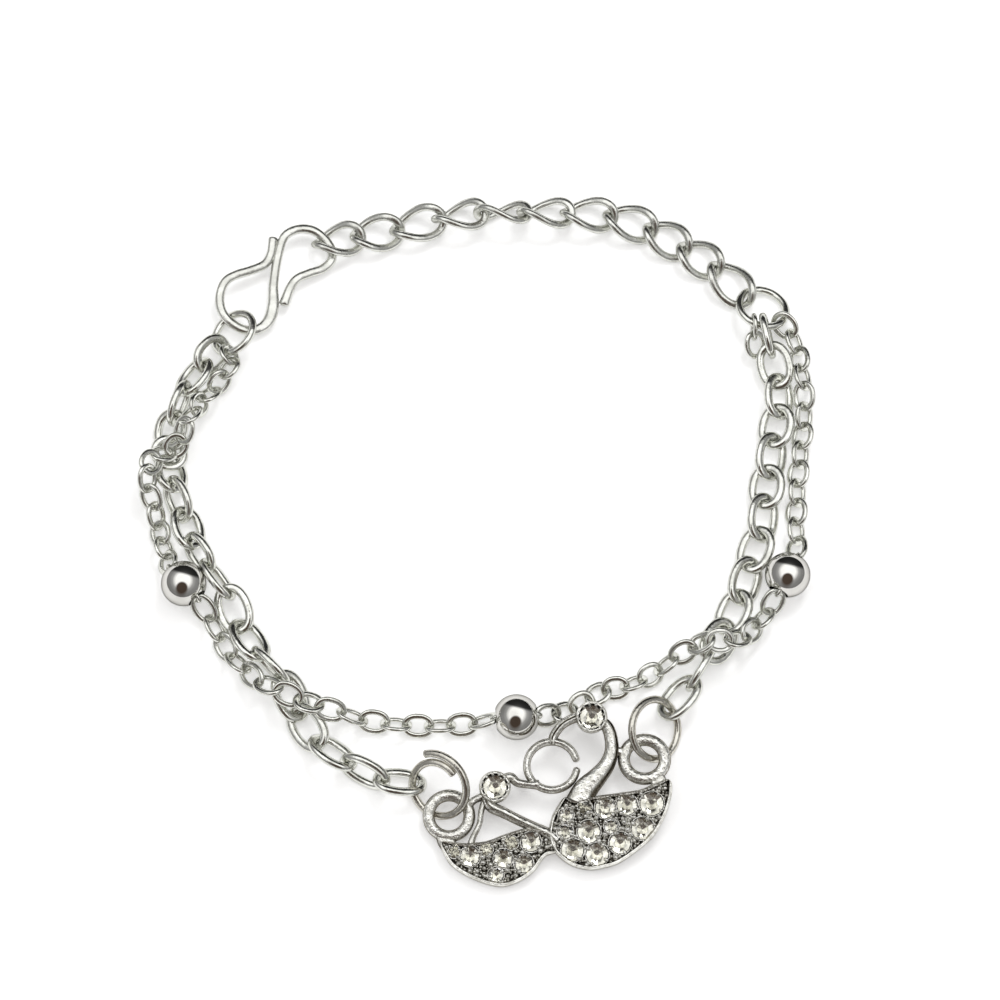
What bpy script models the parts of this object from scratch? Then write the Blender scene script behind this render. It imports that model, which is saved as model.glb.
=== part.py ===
import bpy
import bmesh
import numpy as np
from math import radians, pi, sin, cos, sqrt

for old in list(bpy.data.objects):
    bpy.data.objects.remove(old, do_unlink=True)

# Sizes in metres, angles in degrees. Routes are plan points in millimetres, x to the right and y away.
MM = 0.001
ORIGIN_SHIFT = (0.0001975, 0.0002865, -0.000004)
PART_GAP = 0.00008
LINK_BITE = 0.00007
HOOK_SLACK = 0.00020

MAIN_LINK_WIDTH = 0.0038
MAIN_WIRE = 0.00078
FINE_CHAIN_THICKNESS = 0.0016
EXTENDER_LINK_WIDTH = 0.0040
EXTENDER_LINK_LENGTH = 0.0056
EXTENDER_WIRE = 0.00068
EXTENDER_TWIST = 90.0
EXTENDER_SLACK = 0.00020
HOOK_WIRE = 0.00074
END_RING_WIRE = 0.00070
LEFT_END_RING_RADIUS = 0.0023
RIGHT_END_RING_RADIUS = 0.00245
JUMP_RING_WIRE = 0.00068
JUMP_RING_RADIUS = 0.0029
BEAD_DIAMETER = 0.0045
BEAD_BORE = 0.0022

PLAQUE_THICKNESS = 0.0014
PLAQUE_TILT = 8.2
PLAQUE_LOW_Y = -0.0361
STRAP_THICKNESS = 0.00125
LOOP_THICKNESS = 0.0007
HEAD_RADIUS = 0.00155
HEAD_HEIGHT = 0.0018
STONE_SEAT_DEPTH = 0.0009
STONE_CROWN = 0.00028
STONE_PAVILION = 0.00065
STONE_SETBACK = 0.00010

LINK_POINTS = 10
WIRE_SIDES = 5
RING_POINTS = 14
BEAD_SEGMENTS = 14
BEAD_ROWS = 9

# Where each pair of thick links meets, from the left end ring down to the left jump ring.
LEFT_MAIN = [(-28.0, 17.2), (-29.7, 14.5), (-30.8, 11.5), (-31.3, 9.0), (-31.1, 7.0), (-30.8, 4.4),
             (-29.5, 1.4), (-28.7, -1.5), (-27.0, -4.0), (-25.0, -6.8), (-23.7, -10.1), (-21.8, -13.1),
             (-19.3, -15.6), (-17.9, -18.9), (-15.9, -21.9), (-12.9, -24.1), (-9.6, -25.8)]
LEFT_MAIN_ROLLS = [-38, 40, -78, 22, -14, -36, 55, -36, 60, -65, 18, -36, 88, -25, 25, -44, 63, -38]
# The same from the right end ring down to the right jump ring.
RIGHT_MAIN = [(29.2, 18.7), (30.0, 15.5), (29.9, 12.3), (29.3, 9.2), (28.7, 5.9), (28.3, 2.8),
              (27.8, -0.6), (26.7, -3.8), (25.6, -7.1), (24.3, -10.2), (22.5, -13.2), (20.7, -16.1)]
RIGHT_MAIN_ROLLS = [-78, 18, -38, 20, -36, 18, -37, 20, -35, 26, -24, 85, 34]
# Where the extender's links meet, from the hook to the right end ring.
EXTENDER = [(-12.6, 31.2), (-8.6, 32.0), (-4.3, 33.1), (0.0, 33.7), (4.4, 33.8), (8.8, 33.8),
            (13.2, 33.6), (17.3, 32.1), (20.7, 30.0), (23.9, 27.9)]
EXTENDER_ROLLS = [-18, 0, -8, -32, -60, -36, -16, -4, 0, 0, 0]
# The four runs of the fine chain between the end rings and the balls.
FINE_RUN_1 = [(-24.9, 17.6), (-26.6, 15.1), (-28.3, 12.6), (-29.3, 10.2), (-30.3, 7.9), (-31.9, 7.3),
              (-33.2, 5.0), (-32.6, 2.4), (-31.9, -0.3), (-31.2, -2.9)]
FINE_RUN_2 = [(-27.2, -8.3), (-25.4, -11.7), (-23.3, -14.6), (-20.6, -16.8), (-16.7, -18.4),
              (-12.8, -19.4), (-8.5, -20.0), (-4.3, -20.2), (-0.1, -19.9)]
FINE_RUN_3 = [(6.7, -19.3), (8.6, -18.7), (10.0, -17.8), (11.6, -16.7), (12.9, -16.3), (14.9, -16.0),
              (18.0, -14.2), (21.2, -12.4), (24.6, -12.2), (26.9, -10.6), (28.6, -8.2)]
FINE_RUN_4 = [(31.3, 21.0), (31.9, 19.0), (32.6, 15.3), (32.8, 11.7), (32.0, 8.2), (31.6, 4.6),
              (31.4, 1.1), (31.3, -1.6)]
FINE_TUBE_POINTS = 34
TUBE_START = 0.00070
# Centre line of the S-hook, from its upper tip to its lower tip.
HOOK_LINE = [(-21.2, 30.8), (-21.4, 29.2), (-22.0, 28.1), (-23.4, 27.4), (-24.8, 26.9), (-25.9, 26.2),
             (-26.45, 24.9), (-26.4, 23.5), (-25.8, 22.3), (-24.6, 21.4), (-23.4, 21.1), (-22.2, 21.5),
             (-21.4, 22.5), (-21.1, 24.0), (-21.1, 26.0), (-20.8, 28.4), (-20.3, 30.6), (-19.6, 31.5),
             (-18.4, 31.95), (-17.1, 31.8), (-16.0, 31.0), (-15.3, 29.9), (-15.3, 28.7), (-16.2, 27.8),
             (-17.5, 27.3), (-18.7, 26.7), (-19.4, 25.7), (-20.0, 24.0)]

LARGE_BODY = [(8.1, -27.4), (9.2, -27.6), (11.4, -27.2), (13.5, -26.9), (15.5, -26.6), (16.9, -26.0),
              (18.2, -25.6), (18.6, -26.2), (18.5, -27.4), (18.0, -29.0), (16.9, -31.0), (15.4, -32.4),
              (13.5, -33.7), (12.0, -34.2), (10.6, -34.4), (9.1, -34.1), (7.9, -33.4), (7.0, -32.4),
              (6.6, -31.3), (6.7, -30.0), (7.1, -28.8)]
SMALL_BODY = [(-3.8, -31.7), (-1.5, -31.8), (0.5, -31.6), (1.9, -31.1), (3.4, -30.6), (4.8, -30.3),
              (6.3, -30.6), (7.2, -31.3), (7.4, -32.6), (6.3, -33.1), (5.3, -34.4), (4.5, -35.1),
              (3.1, -35.8), (1.7, -36.0), (-0.2, -35.5), (-2.0, -34.6), (-3.2, -33.5)]
LARGE_STONES = [(16.6, -28.0, 1.15), (14.2, -28.1, 1.0), (12.1, -28.4, 1.0), (10.1, -28.3, 0.65),
                (15.7, -30.4, 1.1), (13.5, -31.8, 1.05), (11.3, -32.9, 1.1), (8.9, -32.5, 1.1),
                (10.5, -30.7, 1.1), (8.3, -29.1, 0.7), (8.2, -30.7, 0.75), (12.7, -30.2, 0.8)]
SMALL_STONES = [(4.9, -31.7, 0.95), (3.0, -31.8, 0.65), (-1.0, -33.1, 0.95), (2.2, -33.3, 0.9),
                (4.2, -33.8, 0.9), (1.5, -34.9, 0.75), (0.6, -32.4, 0.6), (-2.5, -32.7, 0.55)]
HEAD_STONE_RADIUS = 0.00125
LARGE_HEAD = (10.8, -19.6)
SMALL_HEAD = (1.4, -26.4)


def material(name, colour, metallic, rough):
    m = bpy.data.materials.new(name)
    m.use_nodes = True
    node = m.node_tree.nodes["Principled BSDF"]
    node.inputs["Base Color"].default_value = (*colour, 1.0)
    node.inputs["Metallic"].default_value = metallic
    node.inputs["Roughness"].default_value = rough
    return m


SILVER = (0.80, 0.80, 0.79)
CRYSTAL = (0.86, 0.87, 0.88)


def solid(name, verts, faces, colour=SILVER, metallic=1.0, rough=0.2):
    mesh = bpy.data.meshes.new(name)
    mesh.from_pydata([tuple(v + ORIGIN_SHIFT) for v in verts], [], [tuple(f) for f in faces])
    bm = bmesh.new()
    bm.from_mesh(mesh)
    bmesh.ops.recalc_face_normals(bm, faces=bm.faces)
    bm.to_mesh(mesh)
    bm.free()
    obj = bpy.data.objects.new(name, mesh)
    bpy.context.scene.collection.objects.link(obj)
    mesh.materials.append(material(name, colour, metallic, rough))
    return obj


def helper(obj):
    obj.hide_render = True
    obj.display_type = "WIRE"
    return obj


def joined(target, other, operation):
    m = target.modifiers.new(operation.lower(), "BOOLEAN")
    m.operation = operation
    m.object = helper(other)
    m.solver = "EXACT"
    m.use_self = True
    return m


def spline(points, steps=24):
    p = np.array(points, float)
    p = np.vstack([2 * p[0] - p[1], p, 2 * p[-1] - p[-2]])
    t = np.linspace(0.0, 1.0, steps, endpoint=False)[:, None]
    out = []
    for a, b, c, d in zip(p[:-3], p[1:-2], p[2:-1], p[3:]):
        out.append(0.5 * (2 * b + (c - a) * t + (2 * a - 5 * b + 4 * c - d) * t ** 2
                          + (3 * b - a - 3 * c + d) * t ** 3))
    return np.vstack(out + [p[-2][None]])


def equal_steps(line, count):
    """Points along a line that are the same chord apart, from its first point to its last."""
    def march(pitch):
        points = [line[0]]
        k = 0
        while len(points) <= count + 1:
            here = points[-1]
            while k < len(line) - 1 and np.linalg.norm(line[k + 1] - here) < pitch:
                k += 1
            if k == len(line) - 1:
                break
            a = line[k]
            d = line[k + 1] - a
            f = a - here
            qa = d @ d
            qb = 2 * f @ d
            qc = f @ f - pitch * pitch
            points.append(a + d * (-qb + sqrt(max(qb * qb - 4 * qa * qc, 0.0))) / (2 * qa))
        return points

    total = np.linalg.norm(np.diff(line, axis=0), axis=1).sum()
    low, high = 0.8 * total / count, 1.1 * total / count
    for _ in range(50):
        mid = (low + high) / 2
        if len(march(mid)) > count:
            low = mid
        else:
            high = mid
    return np.array(march(low)[:count] + [line[-1]])


def link(start, end, roll, width, wire, bite=LINK_BITE, twist=0.0, points=LINK_POINTS):
    """Centre line of an oval link whose inner ends touch the two contact points, and its side vectors."""
    span = end - start
    length = np.linalg.norm(span)
    u = span / length
    left = np.cross([0.0, 0.0, 1.0], u)
    left /= np.linalg.norm(left)
    up = np.cross(u, left)
    t = np.arange(points) * 2 * pi / points
    x = (length + wire - bite) / 2 * np.sign(np.cos(t)) * abs(np.cos(t)) ** 0.9
    y = (width - wire) / 2 * np.sign(np.sin(t)) * abs(np.sin(t)) ** 0.9
    turn = np.radians(roll + twist * x / (length + wire))
    side = np.cos(turn)[:, None] * left + np.sin(turn)[:, None] * up
    face = np.cos(turn)[:, None] * up - np.sin(turn)[:, None] * left
    return (start + end) / 2 + x[:, None] * u + y[:, None] * side, face


def circle(centre, radius, normal, points=RING_POINTS):
    a = np.cross([0.0, 1.0, 0.0], normal)
    a /= np.linalg.norm(a)
    b = np.cross(normal, a)
    t = np.arange(points) * 2 * pi / points
    line = centre + radius * (np.cos(t)[:, None] * a + np.sin(t)[:, None] * b)
    return line, np.tile(normal, (points, 1))


def tube(line, faces_up, radius, sides=WIRE_SIDES, closed=True, start=pi):
    """Round wire along a line: a ring of corners about each point, square to the line there."""
    n = len(line)
    if closed:
        tangent = np.roll(line, -1, 0) - np.roll(line, 1, 0)
    else:
        tangent = np.gradient(line, axis=0)
    tangent /= np.linalg.norm(tangent, axis=1)[:, None]
    up = faces_up - (faces_up * tangent).sum(1)[:, None] * tangent
    up /= np.linalg.norm(up, axis=1)[:, None]
    out = np.cross(tangent, up)
    a = start + np.arange(sides) * 2 * pi / sides
    verts = (line[:, None] + radius * (np.cos(a)[None, :, None] * out[:, None]
                                       + np.sin(a)[None, :, None] * up[:, None])).reshape(-1, 3)
    faces = []
    for i in range(n if closed else n - 1):
        j = (i + 1) % n
        for k in range(sides):
            m = (k + 1) % sides
            faces.append((i * sides + k, i * sides + m, j * sides + m, j * sides + k))
    if not closed:
        faces.append(tuple(range(sides)))
        faces.append(tuple((n - 1) * sides + k for k in range(sides)))
    return verts, faces


def merged(parts):
    verts = []
    faces = []
    base = 0
    for v, f in parts:
        verts.append(v)
        faces += [tuple(base + k for k in face) for face in f]
        base += len(v)
    return np.vstack(verts), faces


def tilted(direction, angle):
    """Normal of a plane that rises by an angle toward a plan direction."""
    g = np.array(direction, float)
    g /= np.linalg.norm(g)
    s = sin(radians(angle))
    return np.array([-g[0] * s, -g[1] * s, cos(radians(angle))])


def rim_point(centre, radius, normal, direction):
    """Point of a tilted ring's wire that lies toward a plan direction."""
    d = np.array([direction[0], direction[1], 0.0])
    d -= normal * (d @ normal)
    return centre + radius * d / np.linalg.norm(d)


def resting(xy, radius, wire, angle):
    """Centre of a tilted ring whose lowest wire lies on the table."""
    return np.array([xy[0] * MM, xy[1] * MM, radius * sin(radians(angle)) + wire / 2])


def hang(rim, toward, wire, slack=HOOK_SLACK):
    """Contact point of a link that hooks a wire from inside, a small gap short of touching it."""
    u = np.array([toward[0] * MM - rim[0], toward[1] * MM - rim[1], 0.0])
    return rim - u / np.linalg.norm(u) * (wire / 2 + slack)


def flat(points):
    return [np.array([x * MM, y * MM, 0.0]) for x, y in points]


def settled(contacts, rolls):
    """Contacts raised, but for the two ends, until no link goes below the table."""
    for _ in range(20):
        lines = lines_of(contacts, rolls, MAIN_LINK_WIDTH, MAIN_WIRE)
        for i, line in enumerate(lines):
            low = MAIN_WIRE / 2 - line[:, 2].min()
            if low > 0:
                contacts[max(i, 1), 2] += low * 0.6
                contacts[min(i + 1, len(contacts) - 2), 2] += low * 0.6
    return contacts


def thick_contacts(start, points, end, rolls, heights):
    contacts = np.array([start] + flat(points) + [end])
    need = (MAIN_LINK_WIDTH - MAIN_WIRE) / 2 * abs(np.sin(np.radians(rolls))) + MAIN_WIRE / 2
    z = np.maximum(np.r_[need[0], need], np.r_[need, need[-1]])
    z[0] = start[2]
    z[-1] = end[2]
    for k, h in heights.items():
        z[k] = h
    contacts[:, 2] = z
    return settled(contacts, rolls)


def lines_of(contacts, rolls, width, wire):
    return [link(a, b, r, width, wire, points=40)[0] for a, b, r in zip(contacts, contacts[1:], rolls)]


# Rings: where each lies, how far it leans and toward which side it rises
LEFT_END_LEAN = 34.0
RIGHT_END_LEAN = 24.0
RIGHT_JUMP_LEAN = 40.0
LEFT_JUMP_LEAN = 42.0
left_end_normal = tilted((1.0, -0.45), LEFT_END_LEAN)
left_end_centre = resting((-25.0, 20.6), LEFT_END_RING_RADIUS, END_RING_WIRE, LEFT_END_LEAN)
right_end_normal = tilted((-0.5, -0.85), RIGHT_END_LEAN)
right_end_centre = resting((28.5, 23.4), RIGHT_END_RING_RADIUS, END_RING_WIRE, RIGHT_END_LEAN)
right_jump_normal = tilted((-0.95, 0.33), RIGHT_JUMP_LEAN)
right_jump_centre = resting((17.0, -20.8), JUMP_RING_RADIUS, JUMP_RING_WIRE, RIGHT_JUMP_LEAN)
left_jump_normal = tilted((0.66, 0.75), LEFT_JUMP_LEAN)
left_jump_centre = resting((-4.2, -26.6), JUMP_RING_RADIUS, JUMP_RING_WIRE, LEFT_JUMP_LEAN)
LEFT_JUMP_START = 25.0
LEFT_JUMP_SWEEP = 430.0
LEFT_JUMP_GROWTH = 0.0009
LEFT_LINK_TURN = 140.0


def ring_node(name, centre, radius, normal, wire):
    line, up = circle(centre, radius, normal)
    v, f = tube(line, up, wire / 2)
    return solid(name, v, f)


def spiral(turns):
    """Open jump ring: its two ends lie side by side, so the radius grows as the wire turns."""
    a = np.cross([0.0, 1.0, 0.0], left_jump_normal)
    a /= np.linalg.norm(a)
    b = np.cross(left_jump_normal, a)
    t = np.atleast_1d(np.radians(turns))
    r = JUMP_RING_RADIUS + LEFT_JUMP_GROWTH * (t / (2 * pi) - LEFT_JUMP_SWEEP / 720)
    w = t + radians(LEFT_JUMP_START)
    return left_jump_centre + r[:, None] * (np.cos(w)[:, None] * a + np.sin(w)[:, None] * b)


ring_node("left_end_ring", left_end_centre, LEFT_END_RING_RADIUS, left_end_normal, END_RING_WIRE)
ring_node("right_end_ring", right_end_centre, RIGHT_END_RING_RADIUS, right_end_normal, END_RING_WIRE)
ring_node("right_jump_ring", right_jump_centre, JUMP_RING_RADIUS, right_jump_normal, JUMP_RING_WIRE)
spiral_line = spiral(np.linspace(0.0, LEFT_JUMP_SWEEP, 18))
v, f = tube(spiral_line, np.tile(left_jump_normal, (18, 1)), JUMP_RING_WIRE / 2, closed=False)
solid("left_jump_ring", v, f)


def hook_height(x, y):
    return 0.0010 - 0.1 * (x + 0.023) + 0.1 * (y - 0.0215)


hook_line = np.array([(x * MM, y * MM, hook_height(x * MM, y * MM)) for x, y in HOOK_LINE])
v, f = tube(hook_line, np.tile([0.0, 0.0, 1.0], (len(HOOK_LINE), 1)), HOOK_WIRE / 2, closed=False)
solid("s_hook", v, f)

# Balls: centre and heading of the bore
BEADS = {"left_bead": ((-29.3, -6.0), -48), "centre_bead": ((3.5, -19.6), 4), "right_bead": ((30.3, -5.1), -118)}


def bead_axis(name):
    (x, y), heading = BEADS[name]
    centre = np.array([x * MM, y * MM, BEAD_DIAMETER / 2])
    return centre, np.array([cos(radians(heading)), sin(radians(heading)), 0.0])


def bead_node(name):
    centre, axis = bead_axis(name)
    side = np.cross([0.0, 0.0, 1.0], axis)
    mouth = np.arcsin(BEAD_BORE / BEAD_DIAMETER)
    t = np.linspace(mouth, pi - mouth, BEAD_ROWS)
    along = BEAD_DIAMETER / 2 * np.cos(t)
    away = BEAD_DIAMETER / 2 * np.sin(t)
    a = np.arange(BEAD_SEGMENTS) * 2 * pi / BEAD_SEGMENTS
    verts = (centre + along[:, None, None] * axis
             + away[:, None, None] * (np.cos(a)[None, :, None] * side
                                      + np.sin(a)[None, :, None] * np.array([0.0, 0.0, 1.0]))).reshape(-1, 3)
    faces = []
    for i in range(BEAD_ROWS):
        j = (i + 1) % BEAD_ROWS
        for k in range(BEAD_SEGMENTS):
            m = (k + 1) % BEAD_SEGMENTS
            faces.append((i * BEAD_SEGMENTS + k, i * BEAD_SEGMENTS + m, j * BEAD_SEGMENTS + m,
                          j * BEAD_SEGMENTS + k))
    return solid(name, verts, faces)


for bead in BEADS:
    bead_node(bead)


# Thick chains
start = hang(rim_point(left_end_centre, LEFT_END_RING_RADIUS, left_end_normal, (-0.80, -0.6)),
             LEFT_MAIN[0], END_RING_WIRE)
end = hang(spiral(LEFT_LINK_TURN)[0], LEFT_MAIN[-1], JUMP_RING_WIRE)
left_contacts = thick_contacts(start, LEFT_MAIN, end, LEFT_MAIN_ROLLS, {4: 0.0012, 5: 0.0008})
start = hang(rim_point(right_end_centre, RIGHT_END_RING_RADIUS, right_end_normal, (0.0, -1.0)),
             RIGHT_MAIN[0], END_RING_WIRE)
end = hang(rim_point(right_jump_centre, JUMP_RING_RADIUS, right_jump_normal, (0.7, 0.7)),
           RIGHT_MAIN[-1], JUMP_RING_WIRE)
right_contacts = thick_contacts(start, RIGHT_MAIN, end, RIGHT_MAIN_ROLLS, {})


def chain_node(name, pieces):
    """One body from a string of links: every second link in the node, the others joined on."""
    tubes = [tube(line, up, wire / 2) for line, up, wire in pieces]
    even = solid(name, *merged(tubes[0::2]))
    odd = solid(name + "_odd", *merged(tubes[1::2]))
    joined(even, odd, "UNION")
    return even


def pieces_of(contacts, rolls, width, wire):
    return [(*link(a, b, r, width, wire), wire) for a, b, r in zip(contacts, contacts[1:], rolls)]


chain_node("main_chain_left", pieces_of(left_contacts, LEFT_MAIN_ROLLS, MAIN_LINK_WIDTH, MAIN_WIRE))
chain_node("main_chain_right", pieces_of(right_contacts, RIGHT_MAIN_ROLLS, MAIN_LINK_WIDTH, MAIN_WIRE))

# Extender
upper_wire = np.array([-15.95 * MM, 30.6 * MM, hook_height(-15.95 * MM, 30.6 * MM)])
start = hang(upper_wire, EXTENDER[0], HOOK_WIRE)
end = hang(rim_point(right_end_centre, RIGHT_END_RING_RADIUS, right_end_normal, (-0.75, 0.6)),
           EXTENDER[-1], END_RING_WIRE)
extender_contacts = np.array([start] + flat(EXTENDER) + [end])
need = []
for roll in EXTENDER_ROLLS:
    sample, _ = link(np.zeros(3), np.array([EXTENDER_LINK_LENGTH - 2 * EXTENDER_WIRE, 0.0, 0.0]), roll,
                     EXTENDER_LINK_WIDTH, EXTENDER_WIRE, twist=EXTENDER_TWIST, points=40)
    need.append(EXTENDER_WIRE / 2 - sample[:, 2].min())
extender_contacts[1:-1, 2] = np.maximum(need[:-1], need[1:])
for i, roll in enumerate(EXTENDER_ROLLS):
    line, up = link(extender_contacts[i], extender_contacts[i + 1], roll, EXTENDER_LINK_WIDTH, EXTENDER_WIRE,
                    bite=-EXTENDER_SLACK, twist=EXTENDER_TWIST)
    v, f = tube(line, up, EXTENDER_WIRE / 2)
    solid("extender_link_%02d" % (i + 1), v, f)

# Fine chain: a tube in its place, lifted where it lies over the thick chain
thick_lines = lines_of(left_contacts, LEFT_MAIN_ROLLS, MAIN_LINK_WIDTH, MAIN_WIRE)
thick_lines += lines_of(right_contacts, RIGHT_MAIN_ROLLS, MAIN_LINK_WIDTH, MAIN_WIRE)
FINE_DROP = 0.0011


def through(name, sign):
    """Route points along a ball's bore, in the order in which the chain passes them."""
    centre, axis = bead_axis(name)
    return [centre + sign * k * axis for k in (-0.0024, 0.0, 0.0024)]


def draped(route):
    """Points of the tube: at the height of a ball's bore near it, on the table or on the thick chain."""
    points = equal_steps(spline([q * [1, 1, 0] for q in route]), FINE_TUBE_POINTS)
    radius = FINE_CHAIN_THICKNESS / 2
    z = np.full(len(points), radius)
    for q in route:
        if q[2] > 0:
            near = np.linalg.norm(points[:, :2] - q[:2], axis=1)
            z = np.maximum(z, np.where(near < 0.0012, q[2], 0.0))
    points[:, 2] = z
    free = z == radius
    free[[0, -1]] = False
    clear = radius + MAIN_WIRE / 2 + 2 * PART_GAP
    everything = np.vstack(thick_lines)
    for _ in range(60):
        lift = np.zeros(len(points))
        for share in (0.0, 0.25, 0.5, 0.75):
            between = points[:-1] * (1 - share) + points[1:] * share
            close = np.linalg.norm(between[:, None] - everything[None], axis=2).min(1) < clear
            lift[:-1] += close
            lift[1:] += close
        if not lift[free].any():
            break
        points[:, 2] += np.where(free & (lift > 0), 0.00006, 0.0)
        z = points[:, 2]
        for k in list(range(1, len(z) - 1)) + list(range(len(z) - 2, 0, -1)):
            if free[k]:
                z[k] = max(z[k], z[k - 1] - FINE_DROP, z[k + 1] - FINE_DROP)
    return points


def tube_node(name, points):
    curve = bpy.data.curves.new(name, "CURVE")
    curve.dimensions = "3D"
    curve.bevel_depth = FINE_CHAIN_THICKNESS / 2
    curve.bevel_resolution = 2
    curve.use_fill_caps = True
    line = curve.splines.new("POLY")
    line.points.add(len(points) - 1)
    for point, q in zip(line.points, points):
        point.co = (*(q + ORIGIN_SHIFT), 1.0)
    obj = bpy.data.objects.new(name, curve)
    bpy.context.scene.collection.objects.link(obj)
    curve.materials.append(material(name, SILVER, 1.0, 0.2))
    return obj


start = hang(rim_point(left_end_centre, LEFT_END_RING_RADIUS, left_end_normal, (-0.1, -1.0)),
             FINE_RUN_1[0], -END_RING_WIRE, -TUBE_START)
end = hang(rim_point(right_end_centre, RIGHT_END_RING_RADIUS, right_end_normal, (0.8, -0.65)),
           FINE_RUN_4[0], -END_RING_WIRE, -TUBE_START)
middle, middle_axis = bead_axis("centre_bead")
left_route = [start] + flat(FINE_RUN_1[1:]) + through("left_bead", 1) + flat(FINE_RUN_2)
left_route += [middle - 0.0024 * middle_axis, middle - PART_GAP * middle_axis]
right_route = [middle + PART_GAP * middle_axis, middle + 0.0024 * middle_axis] + flat(FINE_RUN_3)
right_route += through("right_bead", -1) + flat(FINE_RUN_4[:0:-1]) + [end]
tube_node("fine_chain_left", draped(left_route))
tube_node("fine_chain_right", draped(right_route))


# Plaque, drawn flat on its back and then laid down by its tilt
def laid(points):
    p = np.array(points, float)
    c, s = cos(radians(PLAQUE_TILT)), sin(radians(PLAQUE_TILT))
    y = p[:, 1] - PLAQUE_LOW_Y
    return np.stack([p[:, 0], PLAQUE_LOW_Y + c * y - s * p[:, 2], s * y + c * p[:, 2]], 1)


def plate(outline, low, high):
    n = len(outline)
    verts = [(x * MM, y * MM, z) for z in (low, high) for x, y in outline]
    faces = [tuple(range(n)), tuple(n + k for k in range(n))]
    faces += [(k, (k + 1) % n, n + (k + 1) % n, n + k) for k in range(n)]
    return laid(verts), faces


def disc(x, y, radius, low, high, sides, low_share=1.0):
    a = (np.arange(sides) + 0.5) * 2 * pi / sides
    ring = [(x * MM + radius * np.cos(k), y * MM + radius * np.sin(k)) for k in a]
    verts = [(x * MM + low_share * (px - x * MM), y * MM + low_share * (py - y * MM), low) for px, py in ring]
    verts += [(px, py, high) for px, py in ring]
    faces = [tuple(range(sides)), tuple(sides + k for k in range(sides))]
    faces += [(k, (k + 1) % sides, sides + (k + 1) % sides, sides + k) for k in range(sides)]
    return laid(verts), faces


def strap(points, half_widths, low, high, closed=False):
    """Flat-backed band along a line with a rounded top: six corners about each point."""
    p = np.array(points, float) * MM
    if closed:
        t = np.roll(p, -1, 0) - np.roll(p, 1, 0)
    else:
        t = np.gradient(p, axis=0)
    t /= np.linalg.norm(t, axis=1)[:, None]
    side = np.stack([-t[:, 1], t[:, 0]], 1)
    w = np.broadcast_to(np.array(half_widths, float) * MM, (len(p),))
    shape = [(-1.0, low), (1.0, low), (1.0, low + 0.7 * (high - low)), (0.5, high), (-0.5, high),
             (-1.0, low + 0.7 * (high - low))]
    verts = []
    for q, s, half_width in zip(p, side, w):
        verts += [(q[0] + a * half_width * s[0], q[1] + a * half_width * s[1], z) for a, z in shape]
    n = len(p)
    k = len(shape)
    faces = []
    for i in range(n if closed else n - 1):
        j = (i + 1) % n
        faces += [(i * k + m, i * k + (m + 1) % k, j * k + (m + 1) % k, j * k + m) for m in range(k)]
    if not closed:
        faces.append(tuple(range(k)))
        faces.append(tuple((n - 1) * k + m for m in range(k)))
    return laid(verts), faces


def oval_line(x, y, rx, ry, points, first=0.0, last=360.0):
    if last - first >= 360.0:
        a = np.radians(first + np.arange(points) * 360.0 / points)
    else:
        a = np.radians(np.linspace(first, last, points))
    return np.stack([x + rx * np.cos(a), y + ry * np.sin(a)], 1)


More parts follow.
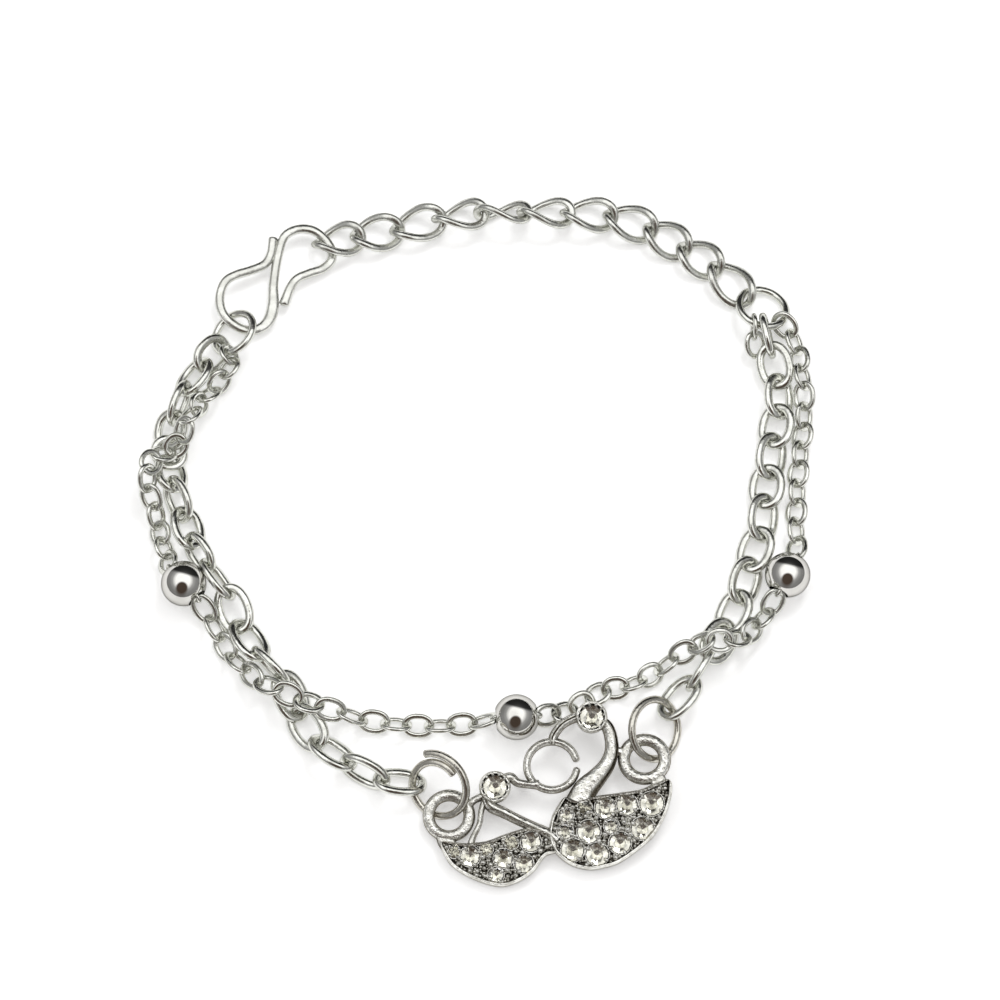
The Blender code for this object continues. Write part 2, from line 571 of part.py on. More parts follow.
STRAP_LOW = 0.00003
straps = [
    ("large_neck", strap([(11.6, -19.7), (12.4, -20.6), (12.75, -21.9), (12.7, -23.1), (12.2, -24.3),
                          (11.3, -25.4), (10.2, -26.6), (9.6, -27.9)],
                         [0.5, 0.6, 0.65, 0.7, 0.8, 0.95, 1.2, 1.4], STRAP_LOW, STRAP_THICKNESS)),
    ("large_beak", strap([(10.3, -19.3), (9.1, -19.6), (7.9, -20.3), (7.1, -21.4), (6.95, -22.2)],
                         [0.5, 0.4, 0.4, 0.4, 0.35], STRAP_LOW, 0.85 * STRAP_THICKNESS)),
    ("open_ring", strap(oval_line(6.95, -24.25, 2.45, 2.35, 17, 14, 352), 0.30, 2 * STRAP_LOW,
                        0.75 * STRAP_THICKNESS)),
    ("small_beak", strap([(1.9, -25.8), (2.9, -25.4), (3.6, -25.9), (4.7, -26.1), (5.6, -26.1)],
                         [0.5, 0.45, 0.4, 0.4, 0.55], 3 * STRAP_LOW, 0.9 * STRAP_THICKNESS)),
    ("small_neck", strap([(0.5, -27.2), (1.0, -28.2), (2.2, -28.8), (3.6, -29.5), (5.1, -30.2), (6.6, -30.9),
                          (7.4, -31.6)],
                         [0.5, 0.55, 0.5, 0.5, 0.5, 0.55, 0.6], 4 * STRAP_LOW, STRAP_THICKNESS)),
    ("small_strand", strap([(0.5, -27.4), (0.1, -28.6), (-0.1, -29.9), (-0.7, -31.2), (-1.0, -32.1)],
                           [0.3, 0.25, 0.25, 0.3, 0.35], 5 * STRAP_LOW, 0.8 * STRAP_THICKNESS)),
    ("left_tail_loop", strap(oval_line(-3.05, -29.1, 1.98, 1.98, 16), 0.56, STRAP_LOW, LOOP_THICKNESS,
                             closed=True)),
    ("left_loop_foot", strap([(-3.6, -30.9), (-3.3, -31.7), (-2.6, -32.5)], [0.8, 0.8, 0.8], 2 * STRAP_LOW,
                             0.95 * LOOP_THICKNESS)),
    ("left_loop_arm", strap([(-1.3, -28.2), (-0.6, -27.6), (0.3, -27.2)], [0.45, 0.35, 0.4], 2 * STRAP_LOW,
                            0.95 * LOOP_THICKNESS)),
    ("right_tail_loop", strap(oval_line(15.95, -23.6, 2.0, 1.9, 16), 0.58, STRAP_LOW, LOOP_THICKNESS,
                              closed=True)),
    ("right_loop_foot", strap([(16.9, -25.1), (17.3, -25.8), (17.5, -26.6)], [0.7, 0.8, 0.8], 2 * STRAP_LOW,
                              0.95 * LOOP_THICKNESS)),
    ("right_loop_bridge", strap([(12.8, -22.7), (13.6, -22.9), (14.3, -23.1)], [0.5, 0.45, 0.5],
                                2 * STRAP_LOW, 0.95 * LOOP_THICKNESS)),
]
plaque = solid("swan_plaque", *plate(LARGE_BODY, 0.0, PLAQUE_THICKNESS), rough=0.3)
joined(plaque, solid("small_body", *plate(SMALL_BODY, 0.0, 0.97 * PLAQUE_THICKNESS)), "UNION")
for name, shape in straps:
    joined(plaque, solid(name, *shape), "UNION")
for name, (x, y) in (("large_head", LARGE_HEAD), ("small_head", SMALL_HEAD)):
    joined(plaque, solid(name, *disc(x, y, HEAD_RADIUS, 5.5 * STRAP_LOW, HEAD_HEIGHT, 14)), "UNION")


def stone_shape(x, y, radius, top):
    """Cut stone: eight-sided table, crown, girdle and pavilion."""
    girdle = top - STONE_SETBACK - STONE_CROWN
    a = np.arange(8) * pi / 4
    table = [(x * MM + 0.58 * radius * np.cos(k), y * MM + 0.58 * radius * np.sin(k), girdle + STONE_CROWN)
             for k in a + pi / 8]
    rim = [(x * MM + radius * np.cos(k), y * MM + radius * np.sin(k), girdle) for k in a]
    verts = table + rim + [(x * MM, y * MM, girdle - STONE_PAVILION)]
    faces = [tuple(range(8))]
    for k in range(8):
        m = (k + 1) % 8
        faces += [(k, 8 + m, m), (k, 8 + k, 8 + m), (8 + k, 16, 8 + m)]
    return laid(verts), faces


seats = []
stones = [("large_swan_stone_%02d" % (k + 1), x, y, r * MM, PLAQUE_THICKNESS)
          for k, (x, y, r) in enumerate(LARGE_STONES)]
stones += [("small_swan_stone_%02d" % (k + 1), x, y, r * MM, 0.97 * PLAQUE_THICKNESS)
           for k, (x, y, r) in enumerate(SMALL_STONES)]
stones += [("large_swan_head_stone", *LARGE_HEAD, HEAD_STONE_RADIUS, HEAD_HEIGHT),
           ("small_swan_head_stone", *SMALL_HEAD, HEAD_STONE_RADIUS, HEAD_HEIGHT)]
for name, x, y, radius, top in stones:
    r = radius - 0.00010
    seats.append(disc(x, y, (r + PART_GAP) / cos(pi / 10), top - STONE_SEAT_DEPTH - STONE_CROWN,
                      top + 0.0005, 10))
    solid(name, *stone_shape(x, y, r, top), colour=CRYSTAL, metallic=0.0, rough=0.05)
joined(plaque, solid("stone_seats", *merged(seats)), "DIFFERENCE")
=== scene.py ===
from math import radians

import bpy
import numpy as np
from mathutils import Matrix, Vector


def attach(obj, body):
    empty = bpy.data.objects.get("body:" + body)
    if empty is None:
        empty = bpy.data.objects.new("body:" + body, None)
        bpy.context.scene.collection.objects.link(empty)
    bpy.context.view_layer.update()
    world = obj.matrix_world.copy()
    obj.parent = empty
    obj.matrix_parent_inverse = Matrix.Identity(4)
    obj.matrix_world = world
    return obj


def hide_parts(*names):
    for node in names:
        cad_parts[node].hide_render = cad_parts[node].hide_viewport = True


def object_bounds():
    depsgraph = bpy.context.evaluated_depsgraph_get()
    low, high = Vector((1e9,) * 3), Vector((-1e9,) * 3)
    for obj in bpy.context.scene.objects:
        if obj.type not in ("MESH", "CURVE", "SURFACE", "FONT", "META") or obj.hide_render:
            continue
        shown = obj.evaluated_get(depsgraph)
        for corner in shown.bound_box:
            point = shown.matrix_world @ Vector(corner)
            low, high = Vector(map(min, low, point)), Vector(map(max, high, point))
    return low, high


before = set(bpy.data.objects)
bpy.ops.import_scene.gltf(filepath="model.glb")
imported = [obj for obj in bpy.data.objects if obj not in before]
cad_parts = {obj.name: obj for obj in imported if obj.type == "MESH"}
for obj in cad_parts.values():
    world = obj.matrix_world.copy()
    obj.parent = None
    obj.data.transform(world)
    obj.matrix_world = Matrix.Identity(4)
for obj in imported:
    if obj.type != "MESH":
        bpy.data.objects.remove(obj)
cadBox = [list(corner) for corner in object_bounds()]
print("frame loaded,", len(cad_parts), "pieces")

mm = 0.001
frameShift = np.array([0.1975, 0.2865, -0.004])  # from the drawing's origin to the frame's, in mm


def gridShape(grid, closedRows=True, shade=0.0):
    # A surface on a grid of points: quads between each row and the next, columns always closed on themselves,
    # and a flat cap on the first and last row where the rows aren't closed. shade is the darkening: painted shade
    # with oxide on the plaque, 0 on bright metal and 1 where it is darkest, as in its recesses.
    rows, cols = grid.shape[:2]
    here = np.arange(rows * cols).reshape(rows, cols)
    below = np.roll(here, -1, 0)
    if not closedRows:
        here, below = here[:-1], below[:-1]
    quads = np.stack([here, np.roll(here, -1, 1), np.roll(below, -1, 1), below], -1).reshape(-1, 4)
    faces = [quads]
    if not closedRows:
        faces.append(np.arange(cols)[::-1][None])
        faces.append((rows - 1) * cols + np.arange(cols)[None])
    points = grid.reshape(-1, 3)
    shade = np.broadcast_to(shade, (rows, cols)).reshape(-1)
    return facingOut(points, faces), shade


def facingOut(points, faces):
    # Signed volume: the sum over all faces of the fans from a middle point; a negative one turns every face round.
    middle = points.mean(0)
    volume = 0.0
    for block in faces:
        corner = points[block] - middle
        volume += np.einsum("ijk,ijk->", np.repeat(corner[:, :1], block.shape[1] - 2, 1),
                            np.cross(corner[:, 1:-1], corner[:, 2:]))
    if volume < 0:
        faces = [block[:, ::-1] for block in faces]
    return points, faces


def makePiece(name, shapes, materials, stands=(), smooth=True, sharpAngle=50, paint=None):
    # Joins shapes into one mesh at the origin, in metres; paint is a material number for each face, or None.
    points, faces, shades, base = [], [], [], 0
    for (corners, blocks), shade in shapes:
        points.append(corners)
        shades.append(shade)
        for block in blocks:
            faces += (block + base).tolist()
        base += len(corners)
    points = np.vstack(points) + frameShift
    points[:, 2] = np.clip(points[:, 2], 0.0, cadBox[1][2] / mm)  # between the table and the CAD's own top
    mesh = bpy.data.meshes.new(name)
    mesh.from_pydata(points * mm, [], faces)
    # painted shade with oxide on the plaque's silver, and a random tone from facet to facet on a stone's foil
    layer = mesh.attributes.new("darkening", "FLOAT", "POINT")
    layer.data.foreach_set("value", np.concatenate(shades).astype(np.float32))
    for material in materials:
        mesh.materials.append(material)
    mesh.polygons.foreach_set("use_smooth", [smooth] * len(faces))
    if paint is not None:
        mesh.polygons.foreach_set("material_index", paint)
    if smooth:
        mesh.set_sharp_from_angle(angle=radians(sharpAngle))
    mesh.update()
    piece = bpy.data.objects.new(name, mesh)
    bpy.context.scene.collection.objects.link(piece)
    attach(piece, "root")
    if stands:
        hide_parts(*stands)
    return piece


def smoothLine(points, steps=12, closed=False):
    # Catmull-Rom curve: between two points, a cubic that leaves each one along the line between its neighbours.
    p = np.array(points, float)
    if closed:
        p = np.vstack([p[-1], p, p[0], p[1]])
    else:
        p = np.vstack([2 * p[0] - p[1], p, 2 * p[-1] - p[-2]])
    t = np.linspace(0, 1, steps, endpoint=False)[None, :, None]
    a, b, c, d = p[:-3, None], p[1:-2, None], p[2:-1, None], p[3:, None]
    curve = 0.5 * (2 * b + (c - a) * t + (2 * a - 5 * b + 4 * c - d) * t ** 2 + (3 * b - a - 3 * c + d) * t ** 3)
    curve = curve.reshape(-1, p.shape[1])
    return curve if closed else np.vstack([curve, p[-2]])


def wireProfile(width, height, sides, square):
    # Superellipse: cosine and sine raised to a power below 1, which flattens the wire's faces.
    t = np.arange(sides) * 2 * np.pi / sides
    return np.stack([width / 2 * np.sign(np.cos(t)) * abs(np.cos(t)) ** square,
                     height / 2 * np.sign(np.sin(t)) * abs(np.sin(t)) ** square], 1)


def wireShape(line, facing, profile, closed=True, endRound=0.0, swell=1.0):
    # Carries a profile along a line in the plane square to it; endRound shrinks the last rows as a quarter circle,
    # and swell is how much wider each row of the line is.
    if closed:
        tangent = np.roll(line, -1, 0) - np.roll(line, 1, 0)
    else:
        tangent = np.gradient(line, axis=0)
    tangent /= np.linalg.norm(tangent, axis=1)[:, None]
    up = facing - (facing * tangent).sum(1)[:, None] * tangent
    up /= np.linalg.norm(up, axis=1)[:, None]
    side = np.cross(tangent, up)
    size = np.ones(len(line))
    swell = np.broadcast_to(swell, (len(line),))
    if endRound:
        bend = np.radians([78, 55, 30])
        swell = np.r_[swell[[0] * 3], swell, swell[[-1] * 3]]
        line = np.vstack([line[0] - tangent[0] * endRound * np.sin(bend)[:, None], line,
                          line[-1] + tangent[-1] * endRound * np.sin(bend[::-1])[:, None]])
        size = np.r_[np.cos(bend), size, np.cos(bend[::-1])]
        side = np.vstack([side[[0] * 3], side, side[[-1] * 3]])
        up = np.vstack([up[[0] * 3], up, up[[-1] * 3]])
    cut = profile[None] * size[:, None, None]
    grid = line[:, None] + cut[..., :1] * (side * swell[:, None])[:, None] + cut[..., 1:] * up[:, None]
    return gridShape(grid, closed)


def newMaterial(name):
    # A material with its nodes, its links and its one shader.
    material = bpy.data.materials.new(name)
    material.use_nodes = True
    nodes, links = material.node_tree.nodes, material.node_tree.links
    return material, nodes, links, nodes["Principled BSDF"]


def noiseNode(nodes, links, scale, detail):
    # Noise in the piece's own coordinates, so that it stays on the piece.
    node = nodes.new("ShaderNodeTexNoise")
    node.inputs["Scale"].default_value = scale
    node.inputs["Detail"].default_value = detail
    links.new(nodes.new("ShaderNodeTexCoord").outputs["Object"], node.inputs["Vector"])
    return node.outputs["Fac"]


toneBand, roughBand = (0.3, 0.62), (0.3, 0.7)  # the levels of the cloud between which tone and roughness change
# how fast the dark mask of painted shade, oxide and dirt specks rises
grimeAndShadeSpread = 0.45


def silverMaterial(name, look):
    # Polished metal: a cloudy tone, roughness that varies with it, a fine grain in the bump, and dark metal where
    # the darkening, broken up by the grain, is high: painted shade with oxide in the plaque's recesses, on its walls
    # and along its edges, and dirt specks wherever the grain alone peaks.
    material, nodes, links, shader = newMaterial(name)
    shader.inputs["Metallic"].default_value = 1.0
    shader.inputs["Specular Tint"].default_value = (*look["edgeTone"], 1)
    cloud, grain = noiseNode(nodes, links, look["cloudScale"], 3), noiseNode(nodes, links, look["grainScale"], 4)
    tone = nodes.new("ShaderNodeValToRGB")
    tone.color_ramp.elements[0].position, tone.color_ramp.elements[1].position = toneBand
    tone.color_ramp.elements[0].color = (*look["shadeTone"], 1)
    tone.color_ramp.elements[1].color = (*look["tone"], 1)
    links.new(cloud, tone.inputs["Fac"])
    attribute = nodes.new("ShaderNodeAttribute")
    attribute.attribute_name = "darkening"
    # the dark mask: grain times its break plus the darkening, so painted shade with oxide where the darkening is high
    # and dirt specks where the grain peaks
    spread = nodes.new("ShaderNodeMath")
    spread.operation = "MULTIPLY_ADD"
    links.new(grain, spread.inputs[0])
    spread.inputs[1].default_value = look["grimeAndShadeBreak"]
    links.new(attribute.outputs["Fac"], spread.inputs[2])
    mask = nodes.new("ShaderNodeMapRange")
    mask.inputs["From Min"].default_value = look["grimeAndShadeStart"]
    mask.inputs["From Max"].default_value = look["grimeAndShadeStart"] + grimeAndShadeSpread
    links.new(spread.outputs[0], mask.inputs["Value"])
    colour = nodes.new("ShaderNodeMix")
    colour.data_type = "RGBA"
    links.new(mask.outputs["Result"], colour.inputs["Factor"])
    links.new(tone.outputs["Color"], colour.inputs["A"])
    colour.inputs["B"].default_value = (*look["grimeAndShadeTone"], 1)
    links.new(colour.outputs["Result"], shader.inputs["Base Color"])
    rough = nodes.new("ShaderNodeMapRange")
    rough.inputs["From Min"].default_value, rough.inputs["From Max"].default_value = roughBand
    rough.inputs["To Min"].default_value = look["roughness"][1]
    rough.inputs["To Max"].default_value = look["roughness"][0]
    links.new(cloud, rough.inputs["Value"])
    links.new(rough.outputs["Result"], shader.inputs["Roughness"])
    bump = nodes.new("ShaderNodeBump")
    bump.inputs["Strength"].default_value = look["grain"]
    bump.inputs["Distance"].default_value = look["grainDepth"]
    links.new(grain, bump.inputs["Height"])
    links.new(bump.outputs["Normal"], shader.inputs["Normal"])
    return material


# the dark tone and its mask paint shade with oxide in the plaque's recesses and along its edges, and dirt specks on the
# wires
wireLook = {"tone": (0.82, 0.825, 0.775), "shadeTone": (0.62, 0.622, 0.575), "grimeAndShadeTone": (0.20, 0.19, 0.17),
            "cloudScale": 900, "grainScale": 2200, "roughness": (0.11, 0.24), "grain": 0.6,
            "grainDepth": 0.00005, "grimeAndShadeStart": 0.84, "grimeAndShadeBreak": 1.25, "edgeTone": (0.52, 0.52, 0.50)}
ringLook = dict(wireLook, tone=(0.72, 0.70, 0.63), shadeTone=(0.53, 0.51, 0.46), grainScale=3800,
                edgeTone=(0.40, 0.38, 0.35))
dullLook = dict(wireLook, tone=(0.76, 0.765, 0.72), shadeTone=(0.61, 0.612, 0.57), roughness=(0.19, 0.31),
                edgeTone=(0.47, 0.47, 0.45))
ballLook = dict(wireLook, tone=(0.74, 0.73, 0.70), shadeTone=(0.60, 0.59, 0.56), edgeTone=(0.30, 0.30, 0.29),
                cloudScale=450, roughness=(0.03, 0.07), grain=0.12, grainDepth=0.00001, grimeAndShadeBreak=0.5)
castLook = {"tone": (0.94, 0.935, 0.89), "shadeTone": (0.58, 0.57, 0.52), "grimeAndShadeTone": (0.26, 0.24, 0.205),
            "cloudScale": 1800, "grainScale": 3600, "roughness": (0.12, 0.32), "grain": 0.8,
            "grainDepth": 0.00011, "grimeAndShadeStart": 0.66, "grimeAndShadeBreak": 1.0, "edgeTone": (0.46, 0.45, 0.42)}
plateSilver = silverMaterial("platedWireSilver", wireLook)
ringSilver = silverMaterial("agedRingSilver", ringLook)
dullSilver = silverMaterial("dullWireSilver", dullLook)
ballSilver = silverMaterial("mirrorBallSilver", ballLook)
# the plaque's silver, with painted shade and oxide where the darkening is high
castSilver = silverMaterial("antiquedCastSilverWithPaintedShade", castLook)


def crystalMaterial(name, look):
    # Clear glass with a faint cloud in its tint.
    material, nodes, links, shader = newMaterial(name)
    ramp = nodes.new("ShaderNodeValToRGB")
    ramp.color_ramp.elements[0].color = (*look["tintDeep"], 1)
    ramp.color_ramp.elements[1].color = (*look["tint"], 1)
    links.new(noiseNode(nodes, links, look["tintScale"], 2), ramp.inputs["Fac"])
    links.new(ramp.outputs["Color"], shader.inputs["Base Color"])
    shader.inputs["Transmission Weight"].default_value = 1.0
    shader.inputs["IOR"].default_value = look["bend"]
    shader.inputs["Roughness"].default_value = look["roughness"]
    return material


def foilMaterial(name, look):
    # The metal foil behind a stone: a mirror whose tone changes from facet to facet.
    material, nodes, links, shader = newMaterial(name)
    shader.inputs["Metallic"].default_value = 1.0
    shader.inputs["Roughness"].default_value = look["foilRoughness"]
    attribute = nodes.new("ShaderNodeAttribute")
    attribute.attribute_name = "darkening"
    ramp = nodes.new("ShaderNodeValToRGB")
    ramp.color_ramp.elements[0].color = (*look["foilBright"], 1)
    ramp.color_ramp.elements[1].color = (*look["foilDark"], 1)
    links.new(attribute.outputs["Fac"], ramp.inputs["Fac"])
    links.new(ramp.outputs["Color"], shader.inputs["Base Color"])
    return material


stoneLook = {"tint": (1.0, 1.0, 0.98), "tintDeep": (0.94, 0.935, 0.90), "tintScale": 700, "bend": 1.6,
             "roughness": 0.0, "foilRoughness": 0.06, "foilBright": (1.0, 0.99, 0.93),
             "foilDark": (0.55, 0.54, 0.48)}
crystal = crystalMaterial("clearCrystal", stoneLook)
foil = foilMaterial("stoneFoil", stoneLook)
print("finishes made")


wireSides = 14
restGap = -0.07  # how far the links bite into each other while their heights are worked out, in mm
mainChain = {
    "width": 3.8, "wire": (0.88, 0.76), "square": 0.85, "gap": 0.02, "restWire": 0.78, "settleRounds": 20,
    "settleShare": 0.6, "checkRows": 40,
    "leftHang": (-0.80, -0.6), "rightHang": (0.0, -1.0), "rightJumpHang": (0.7, 0.7),  # sides of the rings
    "leftMeets": [(-28.0, 17.2), (-29.7, 14.5), (-30.8, 11.5), (-31.3, 9.0), (-31.1, 7.0), (-30.8, 4.4),
                  (-29.5, 1.4), (-28.7, -1.5), (-27.0, -4.0), (-25.0, -6.8), (-23.7, -10.1), (-21.8, -13.1),
                  (-19.3, -15.6), (-17.9, -18.9), (-15.9, -21.9), (-12.9, -24.1), (-9.6, -25.8)],
    "leftRolls": [-38, 40, -78, 22, -14, -36, 55, -36, 60, -65, 18, -36, 88, -25, 25, -44, 63, -38],
    "leftHeights": {4: 1.2, 5: 0.8},
    "rightMeets": [(29.2, 18.7), (30.0, 15.5), (29.9, 12.3), (29.3, 9.2), (28.7, 5.9), (28.3, 2.8),
                   (27.8, -0.6), (26.7, -3.8), (25.6, -7.1), (24.3, -10.2), (22.5, -13.2), (20.7, -16.1)],
    "rightRolls": [-78, 18, -38, 20, -36, 18, -37, 20, -35, 26, -24, 85, 34]}
extender = {
    "width": 4.0, "length": 5.6, "wire": 0.68, "profile": (0.84, 0.72), "square": 0.9, "twist": 90, "slack": 0.20,
    "endHang": (-0.75, 0.6),
    "meets": [(-12.6, 31.2), (-8.6, 32.0), (-4.3, 33.1), (0.0, 33.6), (4.4, 33.67), (8.8, 33.67), (13.2, 33.5),
              (17.3, 32.1), (20.7, 30.0), (23.9, 27.9)],
    "rolls": [-18, 0, -8, -32, -60, -36, -16, -4, 0, 0, 0]}
rings = {
    "leftEnd": {"centre": (-25.0, 20.6), "radius": 2.3, "wire": 0.70, "lean": 34, "rises": (1.0, -0.45)},
    "rightEnd": {"centre": (28.5, 23.4), "radius": 2.45, "wire": 0.70, "lean": 24, "rises": (-0.5, -0.85)},
    "rightJump": {"centre": (17.0, -20.8), "radius": 2.9, "wire": 0.68, "lean": 40, "rises": (-0.95, 0.33)},
    "leftJump": {"centre": (-4.2, -26.6), "radius": 2.9, "wire": 0.68, "lean": 42, "rises": (0.66, 0.75),
                 "startTurn": 25, "sweep": 430, "growth": 0.9, "linkTurn": 140, "rows": 110,
                 "profile": (0.76, 0.72), "endRound": 0.12}}
ringThicker, ringSquare, ringRows = (0.08, 0.04), 0.92, 96
hook = {
    "wire": 0.74, "profile": (0.94, 0.76), "square": 0.85, "endRound": 0.2, "slack": 0.20, "holds": (-15.95, 30.6),
    "flatAt": (-21.5, 23.0), "flatReach": 2.0, "flatGain": 0.32,  # the wire is hammered wider near one point
    "height": 1.0, "levelAt": (-23.0, 21.5), "slope": (-0.1, 0.1), "steps": 6,
    "line": [(-21.2, 30.8), (-21.4, 29.2), (-22.0, 28.1), (-23.4, 27.4), (-24.8, 26.9), (-25.9, 26.2),
             (-26.45, 24.9), (-26.4, 23.5), (-25.8, 22.3), (-24.6, 21.4), (-23.4, 21.1), (-22.2, 21.5),
             (-21.4, 22.5), (-21.1, 24.0), (-21.1, 26.0), (-20.8, 28.4), (-20.3, 30.6), (-19.6, 31.5),
             (-18.4, 31.95), (-17.1, 31.8), (-16.0, 31.0), (-15.3, 29.9), (-15.3, 28.7), (-16.2, 27.8),
             (-17.5, 27.3), (-18.7, 26.7), (-19.4, 25.7), (-20.0, 24.0)]}
ovalPower = 0.9  # below 1 the ovals of the links are a little squarer


def linkLine(start, end, roll, width, wire, gap, twist=0.0, count=64):
    # Oval whose inner ends touch the two meeting points: cosine and sine to a power below 1, rolled about its
    # length and, on a curb link, twisted more the farther along it goes.
    span = end - start
    length = np.linalg.norm(span)
    along = span / length
    left = np.cross([0.0, 0.0, 1.0], along)
    left /= np.linalg.norm(left)
    up = np.cross(along, left)
    t = np.arange(count) * 2 * np.pi / count
    x = (length + wire + gap) / 2 * np.sign(np.cos(t)) * abs(np.cos(t)) ** ovalPower
    y = (width - wire) / 2 * np.sign(np.sin(t)) * abs(np.sin(t)) ** ovalPower
    turn = np.radians(roll + twist * x / (length + wire))[:, None]
    side = np.cos(turn) * left + np.sin(turn) * up
    facing = np.cos(turn) * up - np.sin(turn) * left
    return (start + end) / 2 + x[:, None] * along + y[:, None] * side, facing


def ringFrame(ring):
    # Centre, axis and two directions in the plane of a ring that leans up from the table toward one side.
    g = np.array(ring["rises"], float)
    g /= np.linalg.norm(g)
    lean = radians(ring["lean"])
    axis = np.array([-g[0] * np.sin(lean), -g[1] * np.sin(lean), np.cos(lean)])
    centre = np.array([*ring["centre"], ring["radius"] * np.sin(lean) + ring["wire"] / 2])
    across = np.cross([0.0, 1.0, 0.0], axis)
    across /= np.linalg.norm(across)
    return centre, axis, across, np.cross(axis, across)


def ringLine(ring, turns):
    # Circle or, with growth, a spiral whose radius grows evenly with the turn.
    centre, axis, a, b = ringFrame(ring)
    turns = np.atleast_1d(np.array(turns, float))
    growth, sweep = ring.get("growth", 0.0), ring.get("sweep", 360.0)
    r = (ring["radius"] + growth * (turns / 360 - sweep / 720))[:, None]
    w = np.radians(turns + ring.get("startTurn", 0.0))[:, None]
    return centre + r * (np.cos(w) * a + np.sin(w) * b)


def rimPoint(ring, direction):
    # The point of a ring's circle toward a direction in plan: the direction less its share along the ring's axis.
    centre, axis, a, b = ringFrame(ring)
    d = np.array([*direction, 0.0])
    d -= axis * (d @ axis)
    return centre + ring["radius"] * d / np.linalg.norm(d)


def hangPoint(rim, toward, wire):
    # Where a link meets a wire that it hooks from inside, a small slack short of touching it.
    u = np.array([toward[0] - rim[0], toward[1] - rim[1], 0.0])
    return rim - u / np.linalg.norm(u) * (wire / 2 + hook["slack"])


def ringHang(ring, direction, toward):
    # Where a link that comes from a meeting point hangs on one side of a ring.
    return hangPoint(rimPoint(ring, direction), toward, ring["wire"])


def hookHeight(x, y):
    # The hook lies on a slope: its height changes evenly with x and y.
    (alongX, alongY), (levelX, levelY) = hook["slope"], hook["levelAt"]
    return hook["height"] + alongX * (x - levelX) + alongY * (y - levelY)


def meetingPoints(start, meets, end, rolls, heights):
    # Each meeting point lies as high as the rolled links on both sides of it need, the two ends where they hang.
    width, wire = mainChain["width"], mainChain["restWire"]
    need = (width - wire) / 2 * abs(np.sin(np.radians(rolls))) + wire / 2
    z = np.maximum(np.r_[need[0], need], np.r_[need, need[-1]])
    z[0], z[-1] = start[2], end[2]
    for k, height in heights.items():
        z[k] = height
    points = np.array([start] + [(x, y, 0.0) for x, y in meets] + [end])
    points[:, 2] = z
    for _ in range(mainChain["settleRounds"]):
        for i, roll in enumerate(rolls):
            line, _ = linkLine(points[i], points[i + 1], roll, width, wire, restGap,
                               count=mainChain["checkRows"])
            low = wire / 2 - line[:, 2].min()
            if low > 0:
                points[max(i, 1), 2] += low * mainChain["settleShare"]
                points[min(i + 1, len(points) - 2), 2] += low * mainChain["settleShare"]
    return points


def ringShape(ring):
    # The wire's profile carried round the ring's circle, facing along its axis.
    line = ringLine(ring, np.arange(ringRows) * 360 / ringRows)
    facing = np.tile(ringFrame(ring)[1], (ringRows, 1))
    width, height = (ring["wire"] + more for more in ringThicker)
    return wireShape(line, facing, wireProfile(width, height, wireSides, ringSquare))


makePiece("leftEndRing", [ringShape(rings["leftEnd"])], [plateSilver], ["left_end_ring"])
makePiece("rightEndRing", [ringShape(rings["rightEnd"])], [plateSilver], ["right_end_ring"])
makePiece("rightJumpRing", [ringShape(rings["rightJump"])], [ringSilver], ["right_jump_ring"])
spiralRing = rings["leftJump"]
spiral = ringLine(spiralRing, np.linspace(0, spiralRing["sweep"], spiralRing["rows"]))
spiralFacing = np.tile(ringFrame(spiralRing)[1], (spiralRing["rows"], 1))
makePiece("leftJumpRing",
          [wireShape(spiral, spiralFacing, wireProfile(*spiralRing["profile"], wireSides, ringSquare), False,
                     spiralRing["endRound"])],
          [ringSilver], ["left_jump_ring"])

hookPlan = smoothLine(hook["line"], hook["steps"])
hookCentre = np.column_stack([hookPlan, hookHeight(hookPlan[:, 0], hookPlan[:, 1])])
hookUp = np.tile([0.0, 0.0, 1.0], (len(hookCentre), 1))
fromFlat = np.linalg.norm(hookPlan - hook["flatAt"], axis=1)
hookSwell = 1 + hook["flatGain"] * np.exp(-(fromFlat / hook["flatReach"]) ** 2)
makePiece("sHook", [wireShape(hookCentre, hookUp, wireProfile(*hook["profile"], wireSides, hook["square"]), False,
                              hook["endRound"], hookSwell)],
          [dullSilver], ["s_hook"])

leftPoints = meetingPoints(
    ringHang(rings["leftEnd"], mainChain["leftHang"], mainChain["leftMeets"][0]), mainChain["leftMeets"],
    hangPoint(ringLine(spiralRing, spiralRing["linkTurn"])[0], mainChain["leftMeets"][-1], spiralRing["wire"]),
    mainChain["leftRolls"], mainChain["leftHeights"])
rightPoints = meetingPoints(
    ringHang(rings["rightEnd"], mainChain["rightHang"], mainChain["rightMeets"][0]), mainChain["rightMeets"],
    ringHang(rings["rightJump"], mainChain["rightJumpHang"], mainChain["rightMeets"][-1]),
    mainChain["rightRolls"], {})
thickLines = []
for name, node, points, rolls in (("leftMainChain", "main_chain_left", leftPoints, mainChain["leftRolls"]),
                                  ("rightMainChain", "main_chain_right", rightPoints, mainChain["rightRolls"])):
    shapes = []
    for a, b, roll in zip(points, points[1:], rolls):
        line, facing = linkLine(a, b, roll, mainChain["width"], mainChain["wire"][0], mainChain["gap"])
        thickLines.append(line)
        shapes.append(wireShape(line, facing, wireProfile(*mainChain["wire"], wireSides, mainChain["square"])))
    makePiece(name, shapes, [plateSilver], [node])

